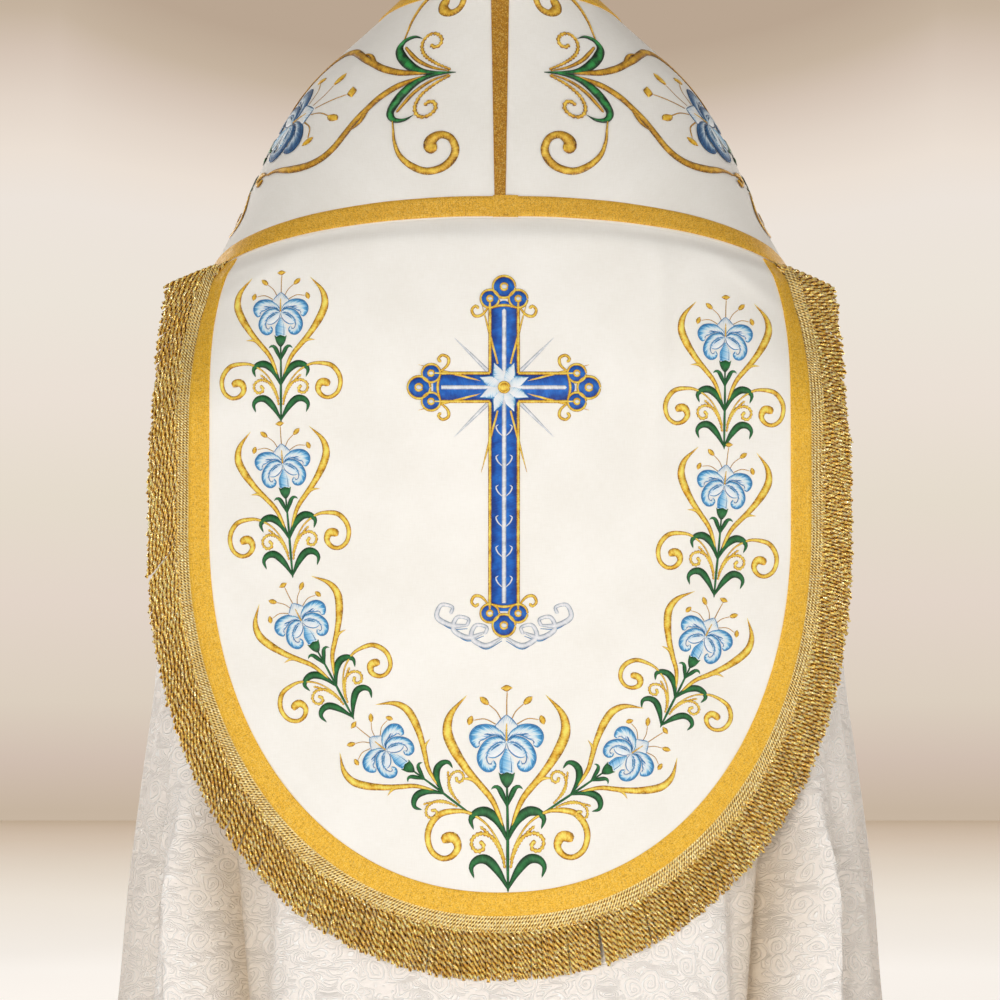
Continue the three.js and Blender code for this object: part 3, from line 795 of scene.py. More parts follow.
def make_plain_cloth(name, light, dark):
    w = Material(name)
    cloth = w.effect(PLAIN_WEAVE, Coordinates=w.uv())
    return w.finish({
        "Base Color": w.mix_colour(cloth["Tone"], srgb(*dark), srgb(*light)),
        "Roughness": 0.8 - cloth["Shade"] * 0.15,
        "Normal": w.bump(cloth["Height"], 0.3, 0.00025),
        "Sheen Weight": 0.2,
    })


def make_gold_braid(name, light, middle, dark):
    w = Material(name)
    braid = w.effect(BRAID, Coordinates=w.uv())
    base = w.ramp(braid["Tone"], tones((0.0, dark), (0.5, middle), (1.0, light)))
    return w.finish({
        # Painted glints over the braid's colour.
        "Base Color": w.mix_colour(braid["Glint"] * 0.4, base, srgb(255, 224, 120)),
        "Roughness": 0.5 - braid["Glint"] * 0.2,
        "Normal": w.bump(braid["Height"], 0.5, 0.0004),
        "Metallic": 0.18,
    })


def make_thread(name, edge, middle, light, rough, metallic=0.0):
    """Embroidery thread of one colour, with painted shade where the padded stitches turn down at a shape's
    edges, a painted highlight along their crown and painted sheen. Metal thread also gets painted glints.
    """
    w = Material(name)
    place = w.uv()
    stitches = w.effect(STITCH, Coordinates=place, Thread=0.0006, Share=w.split(w.uv("tone"))[1])
    # The edge colour is the painted shade and the light colour the painted highlight.
    bright = tuple(mix(a, b, 0.6) for a, b in zip(srgb(*middle), srgb(*light)))
    colour = w.ramp(stitches["PaddingShadeAndSheen"], [
        (0.0, srgb(*edge)), (0.45, srgb(*middle)), (0.8, bright), (1.0, srgb(*light)),
    ])
    if metallic:
        # Painted glints of metal thread.
        flecks = w.effect(GLINT, Coordinates=place, Size=0.0009)
        colour = w.mix_colour(flecks["Glint"] * 0.5, colour, srgb(*light))
    return w.finish({
        "Base Color": colour,
        "Roughness": rough + stitches["Shade"] * 0.12,
        "Normal": w.bump(stitches["Height"], 0.5, 0.0004),
        "Metallic": metallic,
    })


def make_petal(name, *stops):
    """Embroidery whose thread changes colour from one edge of the shape to the other."""
    w = Material(name)
    stitches = w.effect(STITCH, Coordinates=w.uv(), Thread=0.0008, Share=w.split(w.uv("tone"))[1])
    return w.finish({
        "Base Color": w.ramp(stitches["Blended"], tones(*stops)),
        "Roughness": 0.42 + stitches["Shade"] * 0.2,
        "Normal": w.bump(stitches["Height"], 0.5, 0.0004),
        "Sheen Weight": 0.2,
    })


def make_bullion():
    """Twisted metal cord, with painted shade in the grooves between its plies, a painted highlight on their
    crests and painted glints.
    """
    w = Material("gold bullion")
    place = w.uv()
    stitches = w.effect(STITCH, Coordinates=place, Thread=0.0012)
    flecks = w.effect(GLINT, Coordinates=place, Size=0.0014)
    # The tone map's second value is 1 on a ply's crest and 0 in a groove: painted shade and highlight.
    tone = (w.split(w.uv("tone"))[1] + (stitches["Shade"] - 0.5) * 0.3).clamped()
    base = w.ramp(tone, tones((0.0, (56, 26, 0)), (0.3, (160, 102, 18)), (0.6, (242, 184, 62)),
                              (1.0, (255, 242, 150))))
    return w.finish({
        "Base Color": w.mix_colour(flecks["Glint"] * tone, base, srgb(255, 250, 206)),
        "Roughness": 0.34 - flecks["Glint"] * 0.16,
        "Normal": w.bump(stitches["Ridge"], 0.5, 0.0004),
        "Metallic": 0.4,
    })


HEADER_CORD_PITCH, HEADER_ROW_PITCH, HEADER_SLANT = 0.0024, 0.0033, 0.7


def make_header_material():
    """The fringe's woven head: slanting cords crossed by rows of binding, with painted shade where they dip,
    painted highlights on their crests and painted glints of metal.
    """
    w = Material("fringe header")
    place = w.uv()
    flecks = w.effect(GLINT, Coordinates=place, Size=0.0011)
    out, run, _ = w.split(place)
    cord = w.math("SINE", (run + out * HEADER_SLANT) * (2 * math.pi / HEADER_CORD_PITCH))
    row = w.math("SINE", out * (2 * math.pi / HEADER_ROW_PITCH))
    # Dark where the cords and rows dip and light on their crests: painted shade and highlight.
    tone = 0.5 + (cord * 0.3 + row * 0.2)
    base = w.ramp(tone, tones((0.0, (74, 44, 6)), (0.3, (160, 116, 42)), (0.6, (236, 196, 104)),
                              (1.0, (255, 246, 184))))
    return w.finish({
        "Base Color": w.mix_colour(flecks["Glint"] * 0.55, base, srgb(255, 246, 196)),
        "Roughness": 0.45 - flecks["Glint"] * 0.18,
        "Normal": w.bump(tone, 0.6, 0.0007),
        "Metallic": 0.3,
    })


def make_brass():
    w = Material("polished brass")
    place = w.object_place()
    worn = w.noise(place, 60, 4)
    return w.finish({
        "Base Color": w.mix_colour(worn, srgb(188, 142, 62), srgb(226, 186, 104)),
        "Roughness": 0.18 + worn * 0.2,
        "Normal": w.bump(w.noise(place, 900, 2), 0.1, 0.0002),
        "Metallic": 1.0,
    })


damask = make_damask()
orphrey_cloth = make_plain_cloth("orphrey cloth", (247, 245, 240), (238, 235, 228))
hood_cloth = make_plain_cloth("hood cloth", (251, 249, 244), (243, 240, 233))
# One gold galloon in three copies: as lit at the neck, fronts and hood, in painted half shade along the outer
# edge, and in deeper painted shade down the centre back.
braid_side = make_gold_braid("gold galloon", (255, 208, 66), (238, 182, 40), (196, 138, 20))
braid_seam = make_gold_braid("gold galloon in painted half shade", (250, 198, 62), (224, 168, 42), (182, 126, 24))
braid_centre = make_gold_braid("gold galloon in deep painted shade", (208, 150, 30), (178, 120, 16), (134, 84, 8))
gold_thread = make_thread("gold thread", (142, 82, 2), (234, 172, 20), (255, 238, 112), 0.32, 0.08)
dark_gold_thread = make_thread("shaded gold thread", (86, 46, 0), (174, 116, 12), (240, 190, 62), 0.32, 0.08)
band_gold_thread = make_thread(
    "orphrey gold thread", (108, 60, 0), (204, 142, 16), (255, 218, 88), 0.32, 0.08)
green_thread = make_thread("green thread", (2, 44, 16), (12, 86, 38), (44, 132, 66), 0.38)
deep_green_thread = make_thread("deep green thread", (0, 14, 8), (8, 60, 28), (50, 160, 76), 0.34)
outline_thread = make_thread("blue outline thread", (14, 82, 138), (32, 118, 182), (92, 172, 222), 0.4)
deep_outline_thread = make_thread("deep blue thread", (8, 40, 76), (20, 72, 120), (64, 124, 172), 0.4)
royal_thread = make_thread("royal blue thread", (0, 52, 138), (0, 84, 182), (30, 120, 216), 0.36)
silver_thread = make_thread("silver white thread", (158, 168, 184), (222, 226, 234), (252, 252, 254), 0.34)
petal_thread = make_petal(
    "shaded petal", (0.0, (40, 128, 194)), (0.22, (110, 190, 234)), (0.4, (218, 240, 250)),
    (0.76, (248, 252, 254)), (1.0, (70, 156, 214)))
deep_petal_thread = make_petal(
    "deep shaded petal", (0.0, (14, 62, 110)), (0.34, (46, 106, 156)), (0.56, (160, 190, 214)),
    (0.78, (222, 232, 238)), (1.0, (26, 82, 136)))
inner_petal_thread = make_petal(
    "white petal", (0.0, (120, 184, 226)), (0.24, (222, 238, 248)), (1.0, (250, 251, 253)))
crown_thread = make_petal(
    "white crown", (0.0, (176, 206, 226)), (0.3, (238, 243, 246)), (0.8, (246, 246, 244)),
    (1.0, (190, 214, 230)))
throat_thread = make_petal(
    "flower throat", (0.0, (42, 140, 204)), (0.4, (130, 196, 236)), (1.0, (238, 248, 252)))
bullion = make_bullion()
header_cord = make_header_material()
brass = make_brass()

# Cloth pieces.

BODY_COLUMNS, BODY_ROWS = 300, 110
ORPHREY_COLUMNS, ORPHREY_ROWS = 260, 44
HOOD_COLUMNS, HOOD_ROWS = 200, 90
BODY_WALL, ORPHREY_WALL, HOOD_WALL = 1.6, 1.6, 2.0
# How high the orphrey's face and the foot of the braid on it lie above the drape.
ORPHREY_TOP = 0.4
TRIM_FOOT = 0.7
HOOD_LIFT, HOOD_TOP_LIFT, HOOD_TOP_FADE = 2.6, 0.1, 16.0
# Under the hood the body lies a little lower: how much, to what distance from its middle, and down to where.
PRESSED, PRESSED_HALF, PRESSED_FOOT = 2.5, 260.0, -620.0
PRESSED_TOP_FADE, PRESSED_SIDE_FADE, PRESSED_FOOT_FADE = 12.0, 30.0, 200.0
# Face heights and walls of the braids at the band's edges, at the centre back and round the hood.
EDGE_BRAID_FACE, EDGE_BRAID_WALL = 1.1, 0.9
CENTRE_BRAID_FACE, CENTRE_BRAID_WALL = 1.0, 0.8
HOOD_BRAID_FACE, HOOD_BRAID_WALL = 1.1, 1.0
BRAID_EDGE_RISE, BRAID_EDGE_SHARE = 0.35, 0.08
CENTRE_BRAID_TOP, CENTRE_BRAID_FOOT = 8.4, 4.5
LAP_FROM, LAP_TO = -6.0, 15.5


def make_body():
    piece, u, v = flat_grid("body_cloth", BODY_COLUMNS, BODY_ROWS)
    side = u * 2 - 1
    top_angle = np.abs(side) * math.radians(BODY_CORNER_ANGLE)
    top_z = np.interp(top_angle, SEAM_ANGLE[:FRONT_LINES * 2], SEAM_Z[:FRONT_LINES * 2]) - SEAM_GAP
    z = mix(top_z, HEM_Z, 1 - v)

    def radius(angle, height):
        across = angle / front_angle(height)
        return drape_radius(angle, height) + fold_height(across, height) + crease_height(across, height)

    angle = side * front_angle(z)
    point, normal = drape_sample(angle, z, radius)
    below_top = smooth_step((top_z - z + 2) / PRESSED_TOP_FADE)
    inside = smooth_step((PRESSED_HALF - np.abs(point[:, 0])) / PRESSED_SIDE_FADE)
    above_foot = smooth_step((z - PRESSED_FOOT) / PRESSED_FOOT_FADE)
    point = point - normal * (PRESSED * (below_top * inside * above_foot))[:, None]
    move_vertices(piece, point)
    across, down = grid_runs(point, BODY_COLUMNS, BODY_ROWS)
    write_uv(piece, "cloth", across * MM, down * MM)
    # The tone map's second value is the painted shade of the folds.
    write_uv(piece, "tone", u, painted_fold_shade(angle / front_angle(z), z))
    thicken(piece, BODY_WALL)
    dress(piece, damask, "body")
    return piece


def place_on_band(piece, side, run, across, rise):
    """Moves a piece's vertices to places on one half of the band, a rise in front of the drape."""
    point, normal = drape_sample(*band_place(run, across))
    point = point + normal * rise[:, None]
    point[:, 0] *= side
    move_vertices(piece, point)


def band_piece(name, side, columns, rows, run_from, edges, height):
    """A strip of the band, from a run along it to its end. edges takes the band's width and gives the strip's
    two edges' distances from the neck edge, and height gives its rise."""
    piece, u, v = flat_grid(name, columns, rows)
    run = mix(run_from, BAND_END, u if side > 0 else 1 - u)
    width = np.interp(run, LINE_RUN, LINE_LENGTH)
    near, far = edges(width)
    across = mix(near, far, 1 - v)
    place_on_band(piece, side, run, across, height(run, across, width, v))
    write_uv(piece, "cloth", run * MM, across * MM)
    return piece


def make_orphrey(name, side, node):
    def edges(width):
        return 0 * width, width

    def height(run, across, width, share):
        soft = 0.5 * np.sin(run / 47) * np.sin(across / 39 + run / 83)
        return ORPHREY_TOP + soft * smooth_step(across / 40) * smooth_step((width - across) / 40) - SEAM_GAP

    piece = band_piece(name, side, ORPHREY_COLUMNS, ORPHREY_ROWS, SEAM_GAP / 2, edges, height)
    thicken(piece, ORPHREY_WALL)
    dress(piece, orphrey_cloth, node)
    return piece


def braid_height(share, foot, face):
    """The height of a braid's face across its width, rounded at both edges."""
    edge = np.minimum(share, 1 - share)
    return foot + face * mix(BRAID_EDGE_RISE, 1, np.clip(edge / BRAID_EDGE_SHARE, 0, 1) ** 0.5)


def make_edge_braid(name, node, outer):
    """The galloon along one edge of the whole band: both halves, joined at the centre back."""
    def edges(width):
        if outer:
            return width - GALLOON_WIDTH + 0.2, width - 1.3
        return 0 * width + 0.2, 0 * width + GALLOON_WIDTH

    def height(run, across, width, share):
        wave = 0.25 * np.sin(run / 31) + 0.2 * np.sin(run / 13.7)
        return braid_height(share, TRIM_FOOT, EDGE_BRAID_FACE) + wave

    halves = [band_piece(f"{name}_{side}", side, 420, 10, 0, edges, height) for side in (-1, 1)]
    piece = join_pieces(halves, name)
    edit_all(piece, bpy.ops.mesh.remove_doubles, threshold=0.02 * MM)
    thicken(piece, EDGE_BRAID_WALL)
    dress(piece, braid_seam if outer else braid_side, node)
    return piece


def centre_line_z(across):
    """The height of a place on the centre back seam, by its distance from the neck edge."""
    return np.interp(across, LINE_LENGTH[0] * np.linspace(0, 1, SHARE_COUNT), LINE_Z[0])


def centre_sample(x, z):
    """A place of the drape near the centre back, by its x and its height."""
    return drape_sample(np.arcsin(x / drape_radius(0 * z, z)), z)


def make_centre_braid():
    """The galloon down the centre back seam, which narrows towards the hood."""
    piece, u, v = flat_grid("centre_braid", 12, 90)
    length = LINE_LENGTH[0]
    across = mix(GALLOON_WIDTH, length - GALLOON_WIDTH, 1 - v)
    z = centre_line_z(across)
    x = (u * 2 - 1) * mix(CENTRE_BRAID_TOP, CENTRE_BRAID_FOOT, across / length)
    point, normal = centre_sample(x, z)
    rise = braid_height(u, TRIM_FOOT, CENTRE_BRAID_FACE) + 0.15 * np.sin(across / 9)
    raise_from(piece, point, normal, rise)
    return finish_cloth(
        piece, across, x, CENTRE_BRAID_WALL, braid_centre, "galloon_centre_back")


def make_lapped_end():
    """The outer galloon's end, sewn down over its start at the centre back."""
    piece, u, v = flat_grid("outer_braid_end", 16, 14)
    length = LINE_LENGTH[0]
    across = mix(length - GALLOON_WIDTH - 0.4, length - 0.6, 1 - v)
    x = mix(LAP_FROM, LAP_TO, u)
    z = centre_line_z(across) + seam_z_at(x) + SEAM_GAP - SEAM_Z[0]
    point, normal = centre_sample(x, z)
    raise_from(piece, point, normal, braid_height(u, TRIM_FOOT + EDGE_BRAID_WALL, 0.9))
    return finish_cloth(piece, across, x, CENTRE_BRAID_WALL, braid_seam, "galloon_outer")


def hood_lift(x, z):
    """The height of the hood's face: it dips under the galloon at its top edge."""
    drop = seam_z_at(np.minimum(np.abs(x), HOOD_CORNER_X)) - z
    return mix(HOOD_TOP_LIFT, HOOD_LIFT, smooth_step(drop / HOOD_TOP_FADE))


def make_hood():
    piece, u, v = flat_grid("hood_cloth", HOOD_COLUMNS, HOOD_ROWS)
    top_x = mix(-OUTLINE_X[-1], OUTLINE_X[-1], u)
    foot_x, foot_z = outline_out(u * OUTLINE_RUN[-1], GALLOON_WIDTH)
    x, z = mix(top_x, foot_x, 1 - v), mix(seam_z_at(top_x), foot_z, 1 - v)
    point, normal = hood_sample(x, z)
    raise_from(piece, point, normal, hood_lift(x, z))
    return finish_cloth(piece, x, z, HOOD_WALL, hood_cloth, "hood")


def make_hood_braid():
    piece, u, v = flat_grid("hood_braid", 620, 12)
    run, share = u * OUTLINE_RUN[-1], 1 - v
    inner_x, inner_z, _, _ = outline_at(run)
    outer_x, outer_z = outline_out(run, GALLOON_WIDTH)
    x, z = mix(inner_x, outer_x, share), mix(inner_z, outer_z, share)
    point, normal = hood_sample(x, z)
    wave = 0.15 * np.sin(run / 23) + 0.1 * np.sin(run / 9.1)
    rise = braid_height(share, hood_lift(x, z) + SEAM_GAP, HOOD_BRAID_FACE) + wave
    raise_from(piece, point, normal, rise)
    width = share * GALLOON_WIDTH
    return finish_cloth(piece, run, width, HOOD_BRAID_WALL, braid_side, "galloon_hood")


body_cloth = make_body()
orphrey_left = make_orphrey("orphrey_cloth_left", -1, "orphrey_left")
orphrey_right = make_orphrey("orphrey_cloth_right", 1, "orphrey_right")
make_edge_braid("neck_and_front_braid", "galloon_neck_and_fronts", False)
make_edge_braid("outer_braid", "galloon_outer", True)
make_centre_braid()
make_lapped_end()
hood_cloth_piece = make_hood()
hood_braid = make_hood_braid()

# The fringe.

FRINGE_HEADER = 14.0
FRINGE_LENGTH = 41.0
RIB_PITCH = 2.3
FLARE_LENGTH = 180.0
SIDE_TURN, CORNER_TURN = 35.0, 5.0
HEADER_TAPER = 42.0
# The header's height over the hood's edge, and that of its ribs and of its rows of binding.
HEADER_RISE, RIB_RISE, ROW_RISE = 1.9, 0.6, 0.35


def corner_distance(run):
    return np.minimum(run, OUTLINE_RUN[-1] - run)


def corner_share(run):
    """1 at the hood's two upper corners, and 0 past the stretch where the fringe stands out."""
    return 1 - smooth_step(corner_distance(run) / FLARE_LENGTH)


def header_width(run):
    """The header narrows to nothing where the fringe begins at each upper corner."""
    return FRINGE_HEADER * (0.06 + 0.94 * smooth_step((corner_distance(run) + 4) / HEADER_TAPER))


def edge_frame(run):
    """The hood's lower edge: its points, outward ways and face normals."""
    x, z = outline_out(run, GALLOON_WIDTH)
    inner_x, inner_z = outline_out(run, GALLOON_WIDTH - 6)
    point, normal = hood_sample(x, z)
    inner, _ = hood_sample(inner_x, inner_z)
    outward = unit(point - inner)
    steepest = np.tan(np.radians(mix(SIDE_TURN, CORNER_TURN, corner_share(run))))
    outward[:, 1] = np.clip(outward[:, 1], -steepest, steepest)
    outward = unit(outward)
    facing = normal - outward * np.sum(normal * outward, axis=1, keepdims=True)
    return point, outward, unit(facing)


def make_fringe_header():
    ribs = int(OUTLINE_RUN[-1] / RIB_PITCH)
    piece, u, v = flat_grid("fringe_header", ribs * 3, 6)
    run = u * OUTLINE_RUN[-1]
    point, outward, facing = edge_frame(run)
    out = mix(-1.5, header_width(run), 1 - v)
    binding = ROW_RISE * np.sin((1 - v) * np.pi * 4) ** 2
    rise = HEADER_RISE + RIB_RISE * np.abs(np.sin(u * ribs * np.pi)) + binding
    raise_from(piece, point + outward * out[:, None], facing, rise)
    return finish_cloth(piece, out, run, 1.0, header_cord, "fringe_hood")


# Two plies: the shares of the radius round a strand.
STRAND_PLY = np.array([1.0, 0.84, 0.5, 0.84, 1.0, 0.84, 0.5, 0.84])
STRAND_RINGS, STRAND_SIDES = 21, len(STRAND_PLY)
STRAND_PITCH = 4.6
STRAND_RADIUS = 2.5
SIDE_STEP = 1.4
# Where strands part a little: the run along the hood's edge, and how far the parting reaches.
PARTINGS = [(455, 9), (492, 7), (540, 5), (1075, 8), (760, 4), (250, 6), (1290, 6)]
PARTING_LEAN = 0.07
# A strand's root: its place as a share of the header's width, the length added for it, and the length added
# for each millimetre that the header is narrower.
ROOT_SHARE, ROOT_LENGTH, ROOT_MADE_UP = 0.72, 4, 1.15
# How much strands fall from the outward way at their root and at their end, at the sides and at the corners.
SIDE_DROP, CORNER_DROP = 0.5, 0.45
SIDE_DROOP, CORNER_DROOP, DROOP_OUTWARD = 0.75, 0.45, 0.4


def strand_places(root, way, droop, facing, length, width, twists, phase):
    """The rings of one twisted two-ply strand."""
    share = np.linspace(0, 1, STRAND_RINGS)
    bend = share ** 1.3 * 0.45
    direction = unit(way[None, :] * (1 - bend)[:, None] + droop[None, :] * bend[:, None])
    step = length / (STRAND_RINGS - 1)
    centre = root + np.concatenate([[np.zeros(3)], np.cumsum(direction[:-1] * step, axis=0)])
    side = unit(np.cross(direction, facing[None, :]))
    out = unit(np.cross(side, direction))
    around = np.linspace(0, 2 * np.pi, STRAND_SIDES, endpoint=False)
    turn = phase + share * twists * 2 * np.pi
    thick = width * np.where(share > 0.93, 0.72, 1.0) * np.where(share < 0.04, 0.8, 1.0)
    angle = turn[:, None] + around[None, :]
    reach = thick[:, None] * STRAND_PLY[None, :]
    ring = side[:, None, :] * (np.cos(angle) * reach)[..., None]
    ring = ring + out[:, None, :] * (np.sin(angle) * reach)[..., None]
    return centre[:, None, :] + ring, share


def strand_faces(base):
    """The faces between one strand's rings, and its two ends, from its first vertex's number."""
    ring_no, side_no = np.meshgrid(np.arange(STRAND_RINGS - 1), np.arange(STRAND_SIDES), indexing="ij")
    a = base + ring_no * STRAND_SIDES + side_no
    b = base + ring_no * STRAND_SIDES + (side_no + 1) % STRAND_SIDES
    quads = np.stack([a, a + STRAND_SIDES, b + STRAND_SIDES, b], axis=-1).reshape(-1, 4).tolist()
    root = [base + n for n in range(STRAND_SIDES)]
    tip = [base + (STRAND_RINGS - 1) * STRAND_SIDES + n for n in reversed(range(STRAND_SIDES))]
    return [*quads, root, tip]


def make_strands(name, offset, rise, length_share, seed):
    """One row of strands along the hood's edge. offset is the row's start, as a share of the pitch."""
    random.seed(seed)
    total = OUTLINE_RUN[-1]
    count = int(total / STRAND_PITCH)
    runs = (np.arange(count) + offset) * total / count
    point, outward, facing = edge_frame(runs)
    corner = corner_share(runs)
    widths = header_width(runs)
    down = np.array([0.0, 0.0, -1.0])
    vertices, faces, lengths, rounds, groove_shade_at = [], [], [], [], []
    for k in range(count):
        lean = 0.0
        for at, reach in PARTINGS:
            lean += math.copysign(1, runs[k] - at) * math.exp(-abs(runs[k] - at) / reach) * PARTING_LEAN
        along = np.cross(facing[k], outward[k])
        drop = mix(SIDE_DROP, CORNER_DROP, corner[k] ** 3)
        way = unit(outward[k] * (1 - drop) + down * drop)
        way = way + along * (lean + random.uniform(-0.03, 0.03)) + facing[k] * random.uniform(-0.02, 0.05)
        root = point[k] + outward[k] * widths[k] * ROOT_SHARE + facing[k] * (rise + random.uniform(-0.3, 0.3))
        length = FRINGE_LENGTH * length_share * random.uniform(0.97, 1.03)
        length = length + ROOT_LENGTH + (FRINGE_HEADER - widths[k]) * ROOT_MADE_UP
        droop = down * mix(SIDE_DROOP, CORNER_DROOP, corner[k]) + outward[k] * DROOP_OUTWARD
        rings, share = strand_places(
            root, unit(way), droop, facing[k], length, STRAND_RADIUS * random.uniform(0.94, 1.06),
            random.uniform(3.9, 4.4), random.uniform(0, 6.28))
        faces.extend(strand_faces(k * STRAND_RINGS * STRAND_SIDES))
        vertices.append(rings.reshape(-1, 3))
        lengths.append(np.repeat(share * length, STRAND_SIDES))
        rounds.append(np.tile(np.arange(STRAND_SIDES) * SIDE_STEP, STRAND_RINGS) + k * 3.7)
        # Painted shade in the grooves between the plies, with each strand a little lighter or darker at
        # random.
        groove_shade_at.append(np.tile((STRAND_PLY - 0.5) * 2, STRAND_RINGS) * random.uniform(0.82, 1.0))
    mesh = bpy.data.meshes.new(name)
    mesh.from_pydata((np.concatenate(vertices) * MM).tolist(), [], faces)
    piece = bpy.data.objects.new(name, mesh)
    bpy.context.scene.collection.objects.link(piece)
    edit_all(piece, bpy.ops.mesh.normals_make_consistent, inside=False)
    write_uv(piece, "cloth", np.concatenate(lengths) * MM, np.concatenate(rounds) * MM)
    write_uv(piece, "tone", np.concatenate(lengths) / FRINGE_LENGTH, np.concatenate(groove_shade_at))
    bpy.ops.object.shade_smooth_by_angle(angle=math.radians(60))
    dress(piece, bullion, "fringe_hood")
    return piece


fringe_header = make_fringe_header()
front_strands = make_strands("fringe_front_strands", 0.25, 1.4, 1.0, 11)
back_strands = make_strands("fringe_back_strands", 0.75, -1.2, 0.98, 23)

# Embroidery: flat motifs in millimetres, x to the right and y up the stem.


def smooth_path(points, step):
    """Even steps along a smooth curve through the points."""
    points = np.asarray(points, float)
    if len(points) > 2:
        knots = np.concatenate([[0], np.cumsum(np.linalg.norm(np.diff(points, axis=0), axis=1) ** 0.5)])
        fine = np.linspace(0, knots[-1], 40 * len(points))
        dense = np.stack([through(knots, points[:, n], fine) for n in (0, 1)], axis=-1)
    else:
        dense = points
    run = run_along(dense)
    count = max(4, int(run[-1] / step))
    at = np.linspace(0, run[-1], count + 1)
    path = np.stack([np.interp(at, run, dense[:, n]) for n in (0, 1)], axis=-1)
    return path, at


motif_parts = []


def lay_strip(edge_a, edge_b, run, material, lift, columns=4, base=0.12):
    """A padded strip of stitches between two edges that have the same number of points."""
    count = len(edge_a) - 1
    piece, u, v = flat_grid("stitches", count, columns)
    k = np.rint(u * count).astype(int)
    flat = mix(edge_a[k], edge_b[k], v[:, None])
    crown = 1 - (2 * v - 1) ** 2
    width = np.linalg.norm(edge_b[k] - edge_a[k], axis=1)
    height = base + lift * np.sqrt(crown) * np.clip(width / 2.5, 0.25, 1)
    places = np.stack([flat[:, 0], flat[:, 1], height], axis=-1)
    piece.data.vertices.foreach_set("co", places.ravel())
    write_uv(piece, "cloth", run[k] * MM, v * width * MM)
    # The tone map's v runs across the strip: it places the padded stitches' painted shade and the petals'
    # colour blend.
    write_uv(piece, "tone", u, v)
    piece.data.materials.append(material)
    motif_parts.append(piece)
    return piece


def lay_line(points, widths, material, lift=0.7, step=1.5, columns=4, bead=0.0, base=0.12):
    """A line of satin stitch along a path. widths are spread evenly along it, and bead is a bead's pitch."""
    path, run = smooth_path(points, 0.28 * bead if bead else step)
    ahead = np.gradient(path, axis=0)
    side = unit(np.stack([-ahead[:, 1], ahead[:, 0]], axis=-1))
    width = np.interp(run / run[-1], np.linspace(0, 1, len(widths)), widths)
    to_end = np.clip((run[-1] - run) / np.maximum(width / 2, 0.1), 0, 1)
    width = width * np.sqrt(np.maximum(1 - (1 - to_end) ** 2, 0.02))
    if bead:
        width = width * (0.3 + 0.7 * np.abs(np.sin(run * np.pi / bead)) ** 0.7)
    half = (width / 2)[:, None]
    return lay_strip(path - side * half, path + side * half, run, material, lift, columns, base)


def lay_shape(first_edge, second_edge, material, lift=0.8, steps=26, columns=6, base=0.12):
    """A filled shape between two edges."""
    edges = []
    for edge in (first_edge, second_edge):
        path, run = smooth_path(edge, 0.4)
        at = np.linspace(0, run[-1], steps + 1)
        edges.append(np.stack([np.interp(at, run, path[:, n]) for n in (0, 1)], axis=-1))
    return lay_strip(*edges, run_along(edges[0]), material, lift, columns, base)


def flipped(points):
    return [(-x, y) for x, y in points]


def lay_pair(points, widths, material, lift=0.7, **more):
    """A line and its mirror image."""
    for line in both_sides(points):
        lay_line(line, widths, material, lift, **more)


def both_sides(points):
    return (points, flipped(points))


def gather(name):
    """Joins the strips laid since the last motif into one flat motif with its faces up."""
    motif = join_pieces(motif_parts, name)
    edit_all(motif, bpy.ops.mesh.normals_make_consistent, inside=False)
    motif_parts.clear()
    return motif


# The lily: the right half of each shape, seen from the stem's foot.
UPPER_PETAL_RIM = [(0.3, 93.5), (4, 99.2), (9, 101.8), (14.5, 102.5), (20, 101), (23.5, 96.5), (23.2, 91.5),
                   (20.2, 87.8), (17.4, 89.0)]
UPPER_PETAL_FOLD = [(0.3, 92.6), (4, 95.0), (8, 96.0), (12, 94.6), (15, 93.0), (17.0, 92.4), (17.8, 91.4),
                    (17.6, 90.3), (17.3, 89.6)]
LOWER_PETAL_RIM = [(0.5, 91.6), (5, 94.6), (11, 93.6), (16, 89), (18.8, 82), (17.5, 76), (13.5, 72.4),
                   (9, 73.0), (7.0, 76.4), (8.6, 79.6)]
LOWER_PETAL_FOLD = [(0.5, 90.8), (4, 91.2), (8, 89.6), (11.5, 86.4), (13, 82.4), (12.8, 79.0), (11.6, 77.2),
                    (10.2, 77.0), (9.6, 78.0), (9.4, 79.0)]
LOBE_RIM = [(0.3, 91.2), (5, 90.8), (9.5, 88.3), (12.2, 84.5), (12.6, 82.0)]
LOBE_FOLD = [(0.3, 90.4), (1.4, 86.4), (4.5, 83), (8, 81.2), (12.2, 81.6)]
# Strokes of the outline's blue inside the petals.
STREAKS = [
    [(1.2, 92.8), (5, 97.4), (10, 98.6), (15, 98.2)],
    [(8, 95.6), (13, 96.6), (18, 95.4), (20, 92.6)],
    [(1, 90.2), (5.5, 89), (9.5, 86), (11.6, 82.6)],
    [(8, 92.2), (13, 89.2), (15.6, 83.6), (14.6, 78.0)],
]


